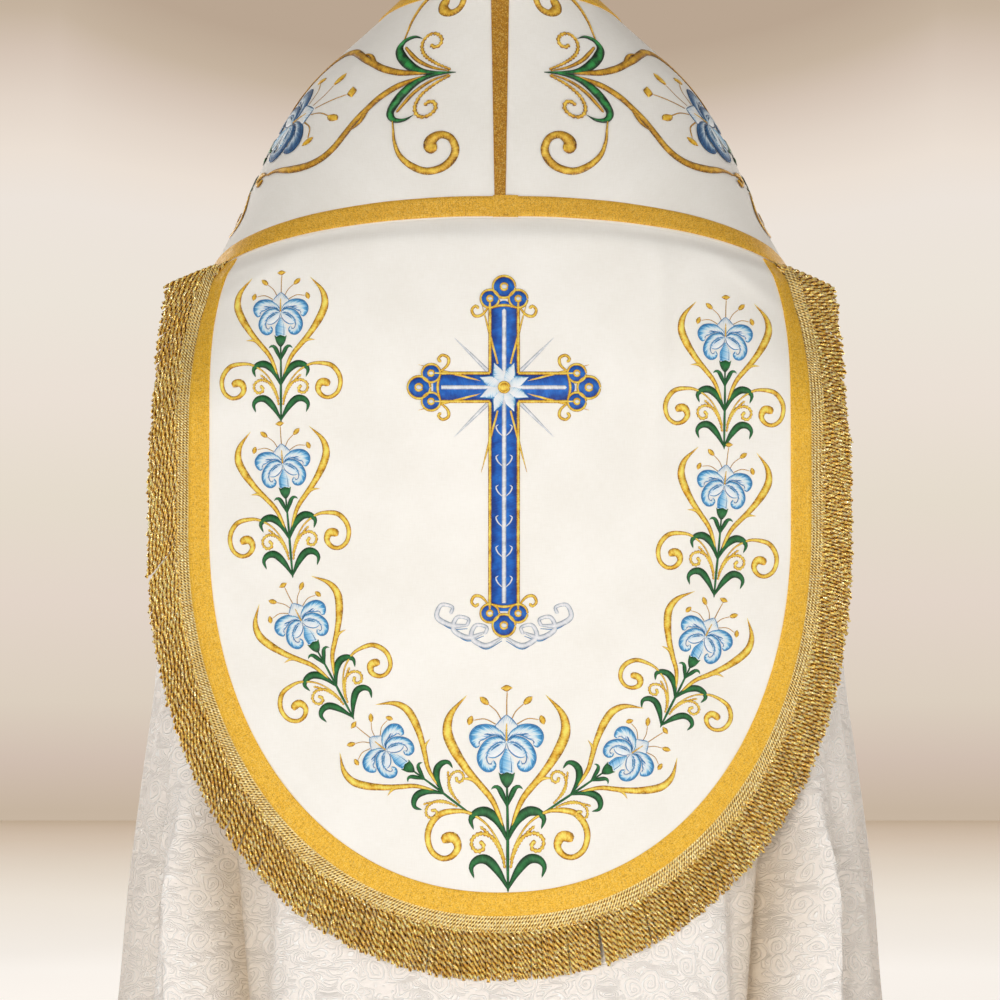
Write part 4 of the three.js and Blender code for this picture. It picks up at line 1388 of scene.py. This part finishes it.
def lay_lily(petal, outline):
    crown_left = [(-7.4, 101.6), (-4, 105.4), (0, 109.2)]
    crown_right = [(7.5, 101.6), (4, 105.8), (0, 109.2)]
    lay_shape([*crown_left, (4, 105.8), (7.5, 101.6)],
              [(-7.4, 101.2), (-4, 97.6), (0, 94.6), (4, 98), (7.5, 101.2)], crown_thread, 0.7)
    for line in (crown_left, crown_right):
        lay_line(line, [0.5, 0.9, 0.6], outline, 1.0)
    lay_shape([(-4.4, 71), (-4.8, 75), (-4.6, 79), (-2.6, 83), (-0.6, 87)],
              [(4.4, 71), (4.8, 75), (4.6, 79), (2.6, 83), (0.6, 87)], throat_thread, 0.7)
    for foot, head in ((1.2, 0.7), (3.0, 2.4)):
        lay_pair([(foot, 71.5), (foot, 77), (head, 82)], [0.8, 0.7, 0.2], outline, 0.4, base=0.6)
    for rim, fold in ((UPPER_PETAL_RIM, UPPER_PETAL_FOLD), (LOWER_PETAL_RIM, LOWER_PETAL_FOLD)):
        for edge, other in zip(both_sides(rim), both_sides(fold)):
            lay_shape(edge, other, petal, 1.0)
            lay_line(edge, [0.6, 1.3, 1.4, 1.3, 0.6], outline, 0.9, base=0.3)
            lay_line(other, [0.3, 0.9, 0.9, 0.5], outline, 0.8, base=0.35)
    for edge, other in zip(both_sides(LOBE_RIM), both_sides(LOBE_FOLD)):
        lay_shape(edge, other, inner_petal_thread, 1.0)
        lay_line(other, [0.4, 0.9, 0.8], outline, 0.8, base=0.4)
    for streak in STREAKS:
        lay_pair(streak, [0.5, 1.5, 1.3, 0.3], outline, 0.5, base=0.75)
    lay_line([(0, 92), (0, 97), (0.2, 103.5)], [1.7, 1.5, 1.0], gold_thread, 0.7, bead=1.5, base=0.8)


def lay_stamens():
    """Threads with an anther at each end: one upright, and two to each side."""
    lay_line([(0.3, 108), (0.4, 117), (0.8, 124.5)], [0.8, 0.7], dark_gold_thread, 0.5)
    lay_shape([(-3.4, 126.6), (0.4, 128.6), (4.2, 126.8)], [(-3.4, 126.2), (0.4, 124.2), (4.2, 126.4)],
              gold_thread, 1.0, 10)
    lay_pair([(3.4, 106), (6.4, 111.4), (12, 116.4)], [0.7, 0.6], dark_gold_thread, 0.5)
    lay_pair([(7, 103), (14, 106.4), (21.5, 105.6)], [0.7, 0.6], dark_gold_thread, 0.5)
    lay_pair([(11.6, 116), (14.6, 118.6), (17.2, 120.8)], [1.6, 4.4, 4.2, 1.0], gold_thread, 1.0)
    lay_pair([(22.4, 108.4), (23.6, 105.4), (24.6, 102.4)], [1.0, 4.2, 4.2, 1.0], gold_thread, 1.0)


def lay_calyx(green):
    lay_shape([(-5.4, 71.6), (-3.4, 70.4), (-2, 71.8), (0, 73.6), (2, 71.8), (3.4, 70.4), (5.3, 71.6)],
              [(-5.2, 70.6), (-4, 66), (-2, 62.8), (0, 61.2), (2, 62.8), (4, 66), (5.2, 70.6)], green, 1.0)


def lay_leaf(points, width, material):
    shares = [0.28, 0.5, 0.8, 1.0, 1.0, 0.82, 0.5, 0.12]
    lay_pair(points, [width * share for share in shares], material, 1.0)


SCROLL = [(1.6, 18), (6.5, 30), (14, 40), (24, 46.2), (32, 47.7), (43.3, 46.0), (49.8, 39.7), (52.0, 32),
          (49.6, 23.8), (43.3, 19.4), (36.7, 20.3), (32.4, 25.7), (34.6, 31.3), (39.5, 31.6), (42, 28.6)]
SCROLL_WIDTHS = [1.0, 1.2, 1.3, 1.4, 1.8, 2.6, 3.6, 4.2, 4.3, 4.0, 3.7, 3.4, 4.4, 6.6, 6.8]
BEADS = [(1.8, 13), (4.6, 24.8), (9.6, 31.4), (17, 34.1), (22.6, 31.3), (23.2, 26.6), (19.9, 23.4),
         (15.9, 24.8), (16.2, 28.2), (18.6, 28.6)]
CRESCENT = [(1.8, 33), (5, 44), (10, 54.5), (18, 64), (27, 75), (35, 88), (38.6, 99), (36, 110), (25.6, 122)]
CRESCENT_WIDTHS = [1.0, 2.6, 3.6, 4.2, 4.6, 5.4, 6.6, 6.8, 5.4, 2.6, 0.3]
UPPER_LEAF = [(0, 30), (6.2, 41.6), (13.4, 47.0), (19.9, 46.6), (23.8, 42.6), (22.0, 36.4)]
LOWER_LEAF = [(0, 1.0), (6.8, 11.9), (13.4, 18.2), (19.9, 18.2), (23.8, 13.8), (22.0, 7.2)]
SMALL_LEAF = [(0, 50), (2.6, 56.5), (5.6, 61.6), (8.4, 62.2), (10.4, 60.4)]


def lay_foliage(green, gold, whole):
    """The stem with its leaves and tendrils. A sprig that isn't whole springs from another's leaf."""
    lay_line([(0, 61.5), (0.2, 40), (0, 20), (0, -1.5)], [1.4, 1.9, 2.1, 1.4], green, 0.9)
    if whole:
        lay_pair(SCROLL, SCROLL_WIDTHS, gold, 1.0)
        lay_leaf(LOWER_LEAF, 6.0, green)
    lay_pair([(2.4, 17), (7, 27), (13, 34.5), (18, 38.5)], [1.5, 2.2, 2.2], gold, 0.9, bead=2.2)
    lay_pair(BEADS, [1.9, 2.8, 3.0, 2.9, 3.4], gold, 1.2, bead=2.5)
    lay_leaf(UPPER_LEAF, 6.2, green)
    lay_leaf(SMALL_LEAF, 3.6, green)


def make_sprig(name, whole):
    lay_pair(CRESCENT, CRESCENT_WIDTHS, gold_thread, 1.1)
    lay_pair([(14, 60.0), (22.5, 67.0), (30.5, 67.4)], [3.6, 3.8, 2.4, 0.2], gold_thread, 1.1)
    lay_foliage(green_thread, gold_thread, whole)
    lay_stamens()
    lay_calyx(green_thread)
    lay_lily(petal_thread, outline_thread)
    return gather(name)


# The orphrey's motif, with y running down the band from its point.
FAN_LEAF = [(0, 0), (0.9, 18), (5.2, 34), (16, 47), (27.5, 55), (35, 57), (41.2, 53), (42.6, 44),
            (38.8, 35.5)]
FAN_LEAF_WIDTHS = [0.8, 2.6, 4.6, 7.6, 9.0, 8.8, 6.6, 3.8, 0.4]
FAN_STROKE = [(1.6, 6), (6.8, 22), (16, 36), (27, 46), (34, 51.5)]
FAN_BEADS = [(2.8, 4.8), (10, 18), (19.4, 29.5), (28.6, 34.4), (36.4, 34.2), (41.6, 29.4), (41.2, 22.4),
             (35.4, 16.6), (29, 17.6), (27.6, 22.4), (30.8, 26.6)]
FAN_SCROLL = [(38, 55), (50, 54), (62.9, 53.1), (76.7, 48.8), (88.1, 38.4), (94.5, 25), (92.4, 11),
              (84.6, 1.6), (74.4, -1.5), (64.3, 2.6), (60.8, 11.3), (64.9, 19.0), (71.4, 20.6), (74.9, 14.6)]
FAN_SCROLL_WIDTHS = [1.4, 2.0, 3.0, 4.2, 5.6, 6.6, 7.0, 7.4, 7.6, 7.2, 6.6, 7.4, 11.6, 12.0]
FAN_BRANCH = [(0.8, 20), (2.8, 34), (7.0, 52), (15.0, 68), (24.5, 80), (33, 90), (44, 101), (53.5, 112),
              (60, 126), (61, 143), (55.5, 161), (44, 180), (37, 197)]
FAN_BRANCH_WIDTHS = [1.5, 4.0, 6.2, 6.6, 6.2, 6.2, 6.6, 6.8, 7.0, 7.4, 7.8, 6.2, 3.0, 1.2]
BRANCH_BARB = [(23, 78), (36, 86), (42.5, 97)]
BRANCH_CURL = [(37, 194), (34, 203), (38, 210), (44, 206), (41, 199)]
ORPHREY_LILY_SCALE = 1.5
ORPHREY_LILY_FOOT = 300.0
STAMEN_FOOT, ORPHREY_STAMEN_STRETCH = 102.0, 1.4


def stretch_up(part, foot, share):
    """Lengthens a flat part upwards from a height."""
    flat = read_vertices(part)
    above = np.maximum(flat[:, 1] - foot, 0)
    flat[:, 1] += above * (share - 1)
    part.data.vertices.foreach_set("co", flat.ravel())


def make_orphrey_motif():
    lay_pair(FAN_BRANCH, FAN_BRANCH_WIDTHS, dark_gold_thread, 1.2)
    lay_pair(BRANCH_BARB, [4.2, 4.0, 2.4, 0.3], dark_gold_thread, 1.2)
    lay_pair(BRANCH_CURL, [3, 7, 8, 5, 3], band_gold_thread, 1.4)
    lay_pair(FAN_SCROLL, FAN_SCROLL_WIDTHS, band_gold_thread, 1.3)
    lay_pair(FAN_STROKE, [1.0, 2.6, 3.6, 3.8, 2.4], dark_gold_thread, 1.0)
    lay_pair(FAN_BEADS, [2.8, 3.9, 4.3, 4.2, 4.8], band_gold_thread, 1.4, bead=3.7)
    lay_pair(FAN_LEAF, FAN_LEAF_WIDTHS, deep_green_thread, 1.4)
    before = len(motif_parts)
    lay_stamens()
    for part in motif_parts[before:]:
        stretch_up(part, STAMEN_FOOT, ORPHREY_STAMEN_STRETCH)
    lay_calyx(deep_green_thread)
    lay_lily(deep_petal_thread, deep_outline_thread)
    lay_foliage(deep_green_thread, band_gold_thread, True)
    for part in motif_parts[before:]:
        flat = read_vertices(part)
        flat[:, 0] *= -ORPHREY_LILY_SCALE
        flat[:, 1] = ORPHREY_LILY_FOOT - flat[:, 1] * ORPHREY_LILY_SCALE
        part.data.vertices.foreach_set("co", flat.ravel())
    return gather("orphrey_motif")


# The hood's middle bears a plain ornamental cross of the trade's usual kind: a blue field with gold edges and
# trefoil ends, a silver line inside it, rays, a rosette, and silver scrolls at its foot.
CROSS_FOOT, CROSS_ARM, CROSS_HEAD, CROSS_SIDE, CROSS_HALF = -150.0, 72.0, 158.0, 70.0, 14.0


def lay_disc(x, y, radius, material, base):
    turns = np.linspace(0, np.pi, 9)
    upper = [(x + radius * math.cos(t), y + radius * math.sin(t)) for t in turns]
    lower = [(a, 2 * y - b) for a, b in upper]
    lay_shape(upper, lower, material, 1.1, 16, base=base)
    lay_line([*upper, *lower[-2::-1]], [2.6, 2.6], gold_thread, 1.0, base=base + 0.3)


def lay_cross_end(x, y, ax, ay):
    """Three lobes and two small curls. ax and ay point out along the arm."""
    def turned(points):
        return [(x + ax * b - ay * a, y + ay * b + ax * a) for a, b in points]

    for a, b, radius in ((-14, 2, 9), (14, 2, 9), (0, 14, 11)):
        (cx, cy), = turned([(a, b)])
        lay_disc(cx, cy, radius, royal_thread, 0.3)
        lay_disc(cx, cy, radius * 0.3, silver_thread, 1.3)
    lay_line(turned([(-13, -7), (0, -4.5), (13, -7)]), [2.2, 3.0, 2.2], gold_thread, 0.9, base=1.1)
    for curl in both_sides([(15, -6), (22, -14), (29, -15), (32, -9), (28, -5), (25, -8)]):
        lay_line(turned(curl), [1.6, 2.6, 3.2, 3.2, 2.8, 3.4], gold_thread, 1.0)


def spun(turn, points):
    """Points turned about the middle of the cross's arms."""
    cosine, sine = math.cos(turn), math.sin(turn)
    return [(a * cosine - b * sine, CROSS_ARM + a * sine + b * cosine) for a, b in points]


def make_cross():
    half = CROSS_HALF
    for k in range(12):
        reach, thread = (70, silver_thread) if k % 3 == 1 else (88, gold_thread)
        lay_line(spun(math.radians(30 * k + 15), [(24, 0), (reach, 0)]), [4.0, 2.6, 0.4], thread, 0.9)
    low, high = CROSS_ARM - half, CROSS_ARM + half
    field = [half * 2, half * 2]
    upright, level = [(0, CROSS_FOOT), (0, CROSS_HEAD)], [(-CROSS_SIDE, CROSS_ARM), (CROSS_SIDE, CROSS_ARM)]
    lay_line(upright, field, royal_thread, 0.9, step=2.5, columns=8)
    lay_line(level, field, royal_thread, 1.0, step=2.5, columns=8)
    for start, end in (((half, CROSS_FOOT), (half, low)), ((half, high), (half, CROSS_HEAD)),
                       ((half, low), (CROSS_SIDE, low)), ((half, high), (CROSS_SIDE, high))):
        lay_pair([start, end], [3.2, 3.2], gold_thread, 1.0, base=0.5)
    upright = [(0, CROSS_FOOT + 8), (0, CROSS_HEAD - 8)]
    level = [(8 - CROSS_SIDE, CROSS_ARM), (CROSS_SIDE - 8, CROSS_ARM)]
    lay_line(upright, [4.4, 4.4], silver_thread, 0.7, base=1.0)
    lay_line(level, [4.4, 4.4], silver_thread, 0.7, base=1.0)
    for up in range(6):
        y = CROSS_FOOT + 24 + 30 * up
        tendril = [(2, y), (6, y + 4), (8, y + 9), (5.4, y + 11)]
        lay_pair(tendril, [1.0, 1.6, 1.6, 0.8], silver_thread, 0.5, base=1.1)
    for place in ((0, CROSS_HEAD, 0, 1), (0, CROSS_FOOT, 0, -1), (CROSS_SIDE, CROSS_ARM, 1, 0),
                  (-CROSS_SIDE, CROSS_ARM, -1, 0)):
        lay_cross_end(*place)
    for k in range(8):
        turn = math.radians(45 * k + 22.5)
        lay_shape(spun(turn, [(0, 2), (-6, 12), (0, 26)]), spun(turn, [(0, 2), (6, 12), (0, 26.2)]),
                  inner_petal_thread, 0.9, 14, base=1.1)
        for line in both_sides([(0, 3), (6, 12.2), (0, 26.4)]):
            lay_line(spun(turn, line), [0.7, 1.2, 0.6], outline_thread, 0.7, base=1.2)
    lay_disc(0, CROSS_ARM, 5.0, gold_thread, 2.0)
    foot = CROSS_FOOT - 22
    for reach, rise in ((20, 0), (38, 8), (54, 20)):
        curl = [(reach - 18, foot - 4 + rise * 0.6), (reach - 2, foot - 12 + rise),
                (reach + 12, foot - 4 + rise), (reach + 8, foot + 8 + rise),
                (reach - 3, foot + 6 + rise), (reach - 1, foot - 1 + rise)]
        lay_pair(curl, [2.0, 5.0, 5.6, 4.6, 3.6, 3.4], silver_thread, 1.1)
        lay_pair([(a, b - 3.4) for a, b in curl[:3]], [0.6, 1.2, 0.5], outline_thread, 0.8)
    return gather("cross")


def copy_motif(motif, name):
    piece = motif.copy()
    piece.data = motif.data.copy()
    piece.name = name
    piece.data.name = name
    bpy.context.scene.collection.objects.link(piece)
    return piece


def finish_stitching(piece):
    make_active(piece)
    bpy.ops.object.shade_smooth()
    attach(piece, "root")


def sew_on_hood(motif, name, foot, turn, scale, stem_stretch=1.0):
    """Lays a copy of a flat motif on the hood, with its foot at x and z, and its stem turned from upright."""
    piece = copy_motif(motif, name)
    flat = read_vertices(motif)
    lower = np.clip(flat[:, 1], 0, STEM_HEIGHT)
    a, b = flat[:, 0] * scale, (flat[:, 1] + lower * (stem_stretch - 1)) * scale
    x = foot[0] + a * math.cos(turn) + b * math.sin(turn)
    z = foot[1] - a * math.sin(turn) + b * math.cos(turn)
    point, normal = hood_sample(x, z)
    raise_from(piece, point, normal, hood_lift(x, z) + flat[:, 2] * HOOD_STITCH_SHARE)
    finish_stitching(piece)


def sew_on_band(motif, name, side, start, shift, bend):
    """Lays a copy of the orphrey motif on one half of the band, from a run along it. shift moves it across
    the band, and bend turns its stem outwards as it goes."""
    piece = copy_motif(motif, name)
    flat = read_vertices(motif)
    run = start + flat[:, 1]
    length = np.interp(run, LINE_RUN, LINE_LENGTH)
    forward = np.clip(flat[:, 1], 0, BEND_LENGTH)
    across = length / 2 + shift - flat[:, 0] + bend * forward ** 2
    across = np.clip(across, BAND_MARGIN, length - BAND_MARGIN)
    rise = ORPHREY_TOP - STITCH_SINK + flat[:, 2]
    place_on_band(piece, side, np.clip(run, 0.2, BAND_END - 1), across, rise)
    if side < 0:
        edit_all(piece, bpy.ops.mesh.flip_normals)
    finish_stitching(piece)


FLOWER_HEIGHT = 89.0
STEM_HEIGHT = 61.0
CROSS_PLACE, CROSS_SCALE = (504, 460), 0.86
FIRST_MOTIF, MOTIF_PITCH, MOTIF_COUNT = 39.7, 322.0, 5
# The first motif on each side lies nearer the neck, and bends with the shoulder.
FIRST_SHIFT, FIRST_BEND, BEND_LENGTH = -19.8, 0.0012, 190.0
BAND_MARGIN = 22.0
# Stitches start a little under the face of the cloth, and are flatter on the hood.
STITCH_SINK, HOOD_STITCH_SHARE = 0.1, 0.9
SPRIGS = [
    # name, the flower's middle and the stem's foot in the photograph, scale, and whether it is whole
    ("sprig_left_1", (282, 316), (282, 421), 1.0, True),
    ("sprig_left_2", (284, 467), (293.6, 576.5), 1.0, True),
    ("sprig_left_3", (304, 624), (354, 718), 1.0, True),
    ("sprig_left_4", (389, 752), (471, 814), 1.0, False),
    ("sprig_centre", (506.6, 745.5), (508, 890), 1.3, True),
    ("sprig_right_4", (628, 755), (541.5, 814), 1.0, False),
    ("sprig_right_3", (703, 639), (660, 726), 1.0, True),
    ("sprig_right_2", (723, 488), (713, 596), 1.0, True),
    ("sprig_right_1", (724, 341), (723, 448), 1.0, True),
]

sprigs = {whole: make_sprig(f"sprig_{whole}", whole) for whole in (True, False)}
for name, flower, foot, scale, whole in SPRIGS:
    flower_x, flower_z = hood_place(*flower)
    foot_x, foot_z = hood_place(*foot)
    reach = math.hypot(flower_x - foot_x, flower_z - foot_z)
    turn = math.atan2(flower_x - foot_x, flower_z - foot_z)
    stem_stretch = (reach / scale - FLOWER_HEIGHT + STEM_HEIGHT) / STEM_HEIGHT
    sew_on_hood(sprigs[whole], name, (foot_x, foot_z), turn, scale, stem_stretch)
for sprig in sprigs.values():
    bpy.data.objects.remove(sprig)

cross = make_cross()
sew_on_hood(cross, "hood_cross", hood_place(*CROSS_PLACE), 0.0, CROSS_SCALE)
bpy.data.objects.remove(cross)

orphrey_motif = make_orphrey_motif()
for side, word in ((-1, "left"), (1, "right")):
    for k in range(MOTIF_COUNT):
        shift, bend = (0.0, 0.0) if k else (FIRST_SHIFT, FIRST_BEND)
        start = FIRST_MOTIF + MOTIF_PITCH * k
        sew_on_band(orphrey_motif, f"orphrey_stitching_{word}_{k + 1}", side, start, shift, bend)
bpy.data.objects.remove(orphrey_motif)

# The clasp keeps its CAD shape.

for node in ("clasp_plate_left", "clasp_plate_right", "clasp_link"):
    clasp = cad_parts[node]
    clasp.data.materials.clear()
    clasp.data.materials.append(brass)

# What each sheet was cut to.


def face_area(piece):
    """The area of one side of a thickened sheet."""
    areas = np.empty(len(piece.data.polygons))
    piece.data.polygons.foreach_get("area", areas)
    return float(areas.sum()) / 2


body_area = face_area(body_cloth)
orphrey_area = face_area(orphrey_left)
hood_area = face_area(hood_cloth_piece)

# Floor, backdrop, light and camera.
WALL_Y, FLOOR_Z = 7.6, -1.452
# Painted light on the wall: colours of its glow up the wall and out along the floor, each at a share of the
# whole way.
WALL_GLOW = tones(
    (0.0, (200, 182, 162)), (0.03, (199, 181, 161)), (0.086, (209, 191, 177)), (0.154, (220, 207, 191)),
    (0.267, (227, 213, 201)), (0.381, (229, 219, 204)), (0.494, (235, 224, 213)), (0.607, (236, 228, 217)),
    (0.721, (237, 228, 219)), (0.777, (236, 224, 212)), (0.834, (227, 213, 200)), (0.891, (213, 196, 181)),
    (0.936, (198, 180, 160)), (1.0, (186, 166, 146)),
)
# How far below the neck the wall's painted glow starts, and its height. Its darker top comes down in the
# middle.
GLOW_START, GLOW_HEIGHT = 1.5, 2.7
ARCH_RISE, ARCH_REACH = 0.2, 1.82
# Painted light on the floor: colours of its glow out along it, each at a share of the way to the wall.
FLOOR_GLOW = [
    (0.0, (0.1, 0.1, 0.1)), (0.4, (0.4, 0.4, 0.4)), (0.55, (0.56, 0.56, 0.55)), (0.72, (0.48, 0.46, 0.42)),
    (0.84, (0.34, 0.3, 0.25)), (0.92, (0.24, 0.18, 0.13)), (1.0, (0.14, 0.09, 0.04)),
]


def make_floor():
    """A pale floor with painted light: an emission glows most in its middle distance, as a studio sweep's lit
    floor does.
    """
    deselect()
    bpy.ops.mesh.primitive_plane_add(size=40, location=(0, WALL_Y - 20, FLOOR_Z))
    bpy.ops.object.transform_apply(location=True, rotation=True, scale=True)
    floor = bpy.context.object
    floor.name = "floor"
    w = Material("pale floor")
    place = w.object_place()
    far = w.math("DIVIDE", w.split(place)[1], WALL_Y, clamp=True)
    floor.data.materials.append(w.finish({
        "Base Color": w.mix_colour(w.noise(place, 3, 3), srgb(232, 226, 219), srgb(238, 233, 227)),
        "Emission Color": w.ramp(far, FLOOR_GLOW),
        "Emission Strength": 1.0,
        "Roughness": 0.9,
    }))


def make_backdrop():
    """A paper wall with painted light: its glow fades towards the top and towards the floor."""
    deselect()
    bpy.ops.mesh.primitive_plane_add(size=1, location=(0, WALL_Y, 4.0), rotation=(math.pi / 2, 0, 0))
    wall = bpy.context.object
    wall.scale = (40, 11, 1)
    bpy.ops.object.transform_apply(location=True, rotation=True, scale=True)
    wall.name = "backdrop"
    material = bpy.data.materials.new("backdrop paper")
    material.use_nodes = True
    w = Wires(material.node_tree)
    w.tree.nodes.clear()
    across, _, up = w.split(w.object_place())
    arch = w.math("MAXIMUM", up, 0.0) * ARCH_RISE * w.math("MAXIMUM", ARCH_REACH - across * across, 0.0)
    height = w.math("DIVIDE", up + arch + GLOW_START, GLOW_HEIGHT, clamp=True)
    glow = w.make("ShaderNodeEmission", {"Color": w.ramp(height, WALL_GLOW)})
    w.make("ShaderNodeOutputMaterial", {"Surface": glow}, None)
    wall.data.materials.append(material)


def add_light(name, place, aim, size, power, colour):
    deselect()
    bpy.ops.object.light_add(type="AREA", location=place)
    light = bpy.context.object
    light.name = name
    light.data.shape = "RECTANGLE"
    light.data.size, light.data.size_y = size
    light.data.energy = power
    light.data.color = colour
    way = np.array(aim) - np.array(place)
    flat = math.hypot(way[0], way[1])
    light.rotation_euler = (math.atan2(flat, -way[2]), 0, math.atan2(-way[0], way[1]))


make_floor()
make_backdrop()
LIGHTS = [
    # name, place, what it is aimed at, size, watts, colour
    ("key_light", (-1.1, -3.6, -0.7), (0, -0.1, -0.65), (1.3, 1.3), 54.5, (1.0, 0.998, 0.996)),
    ("fill_light", (1.5, -3.5, -0.5), (0, -0.1, -0.65), (1.6, 1.8), 8, (1.0, 1.0, 1.0)),
    ("low_light_right", (2.3, -1.9, -1.0), (0.3, 0, -0.98), (0.8, 0.8), 17, (1.0, 0.99, 0.97)),
    ("low_light_left", (-2.3, -1.9, -1.0), (-0.3, 0, -0.98), (0.8, 0.8), 5.5, (1.0, 0.99, 0.97)),
    ("front_light_left", (-2.3, 3.0, 0.3), (0, 0, -0.6), (1.6, 1.6), 34, (1.0, 0.99, 0.98)),
    ("front_light_right", (2.3, 3.0, 0.3), (0, 0, -0.6), (1.6, 1.6), 20, (1.0, 0.99, 0.98)),
    ("top_light", (0, -1.2, 2.6), (0, 0, -0.6), (2.4, 1.6), 6, (1.0, 0.99, 0.98)),
]
for light in LIGHTS:
    add_light(*light)

world = bpy.data.worlds.new("studio")
world.use_nodes = True
background = world.node_tree.nodes["Background"]
background.inputs["Color"].default_value = (*srgb(246, 240, 232), 1)
background.inputs["Strength"].default_value = 0.28
bpy.context.scene.world = world
bpy.context.scene.view_settings.view_transform = "Standard"

camera_data = bpy.data.cameras.new("camera")
camera = bpy.data.objects.new("camera", camera_data)
bpy.context.scene.collection.objects.link(camera)
camera_data.sensor_width = SENSOR_WIDTH
camera_data.lens = SENSOR_WIDTH * CAMERA_DISTANCE / (PHOTO_SCALE * PHOTO_SIZE)
camera.location = (0, (FACE_Y - CAMERA_DISTANCE) * MM, PHOTO_CENTRE_Z * MM)
camera.rotation_euler = (math.pi / 2, 0, 0)
bpy.context.scene.camera = camera
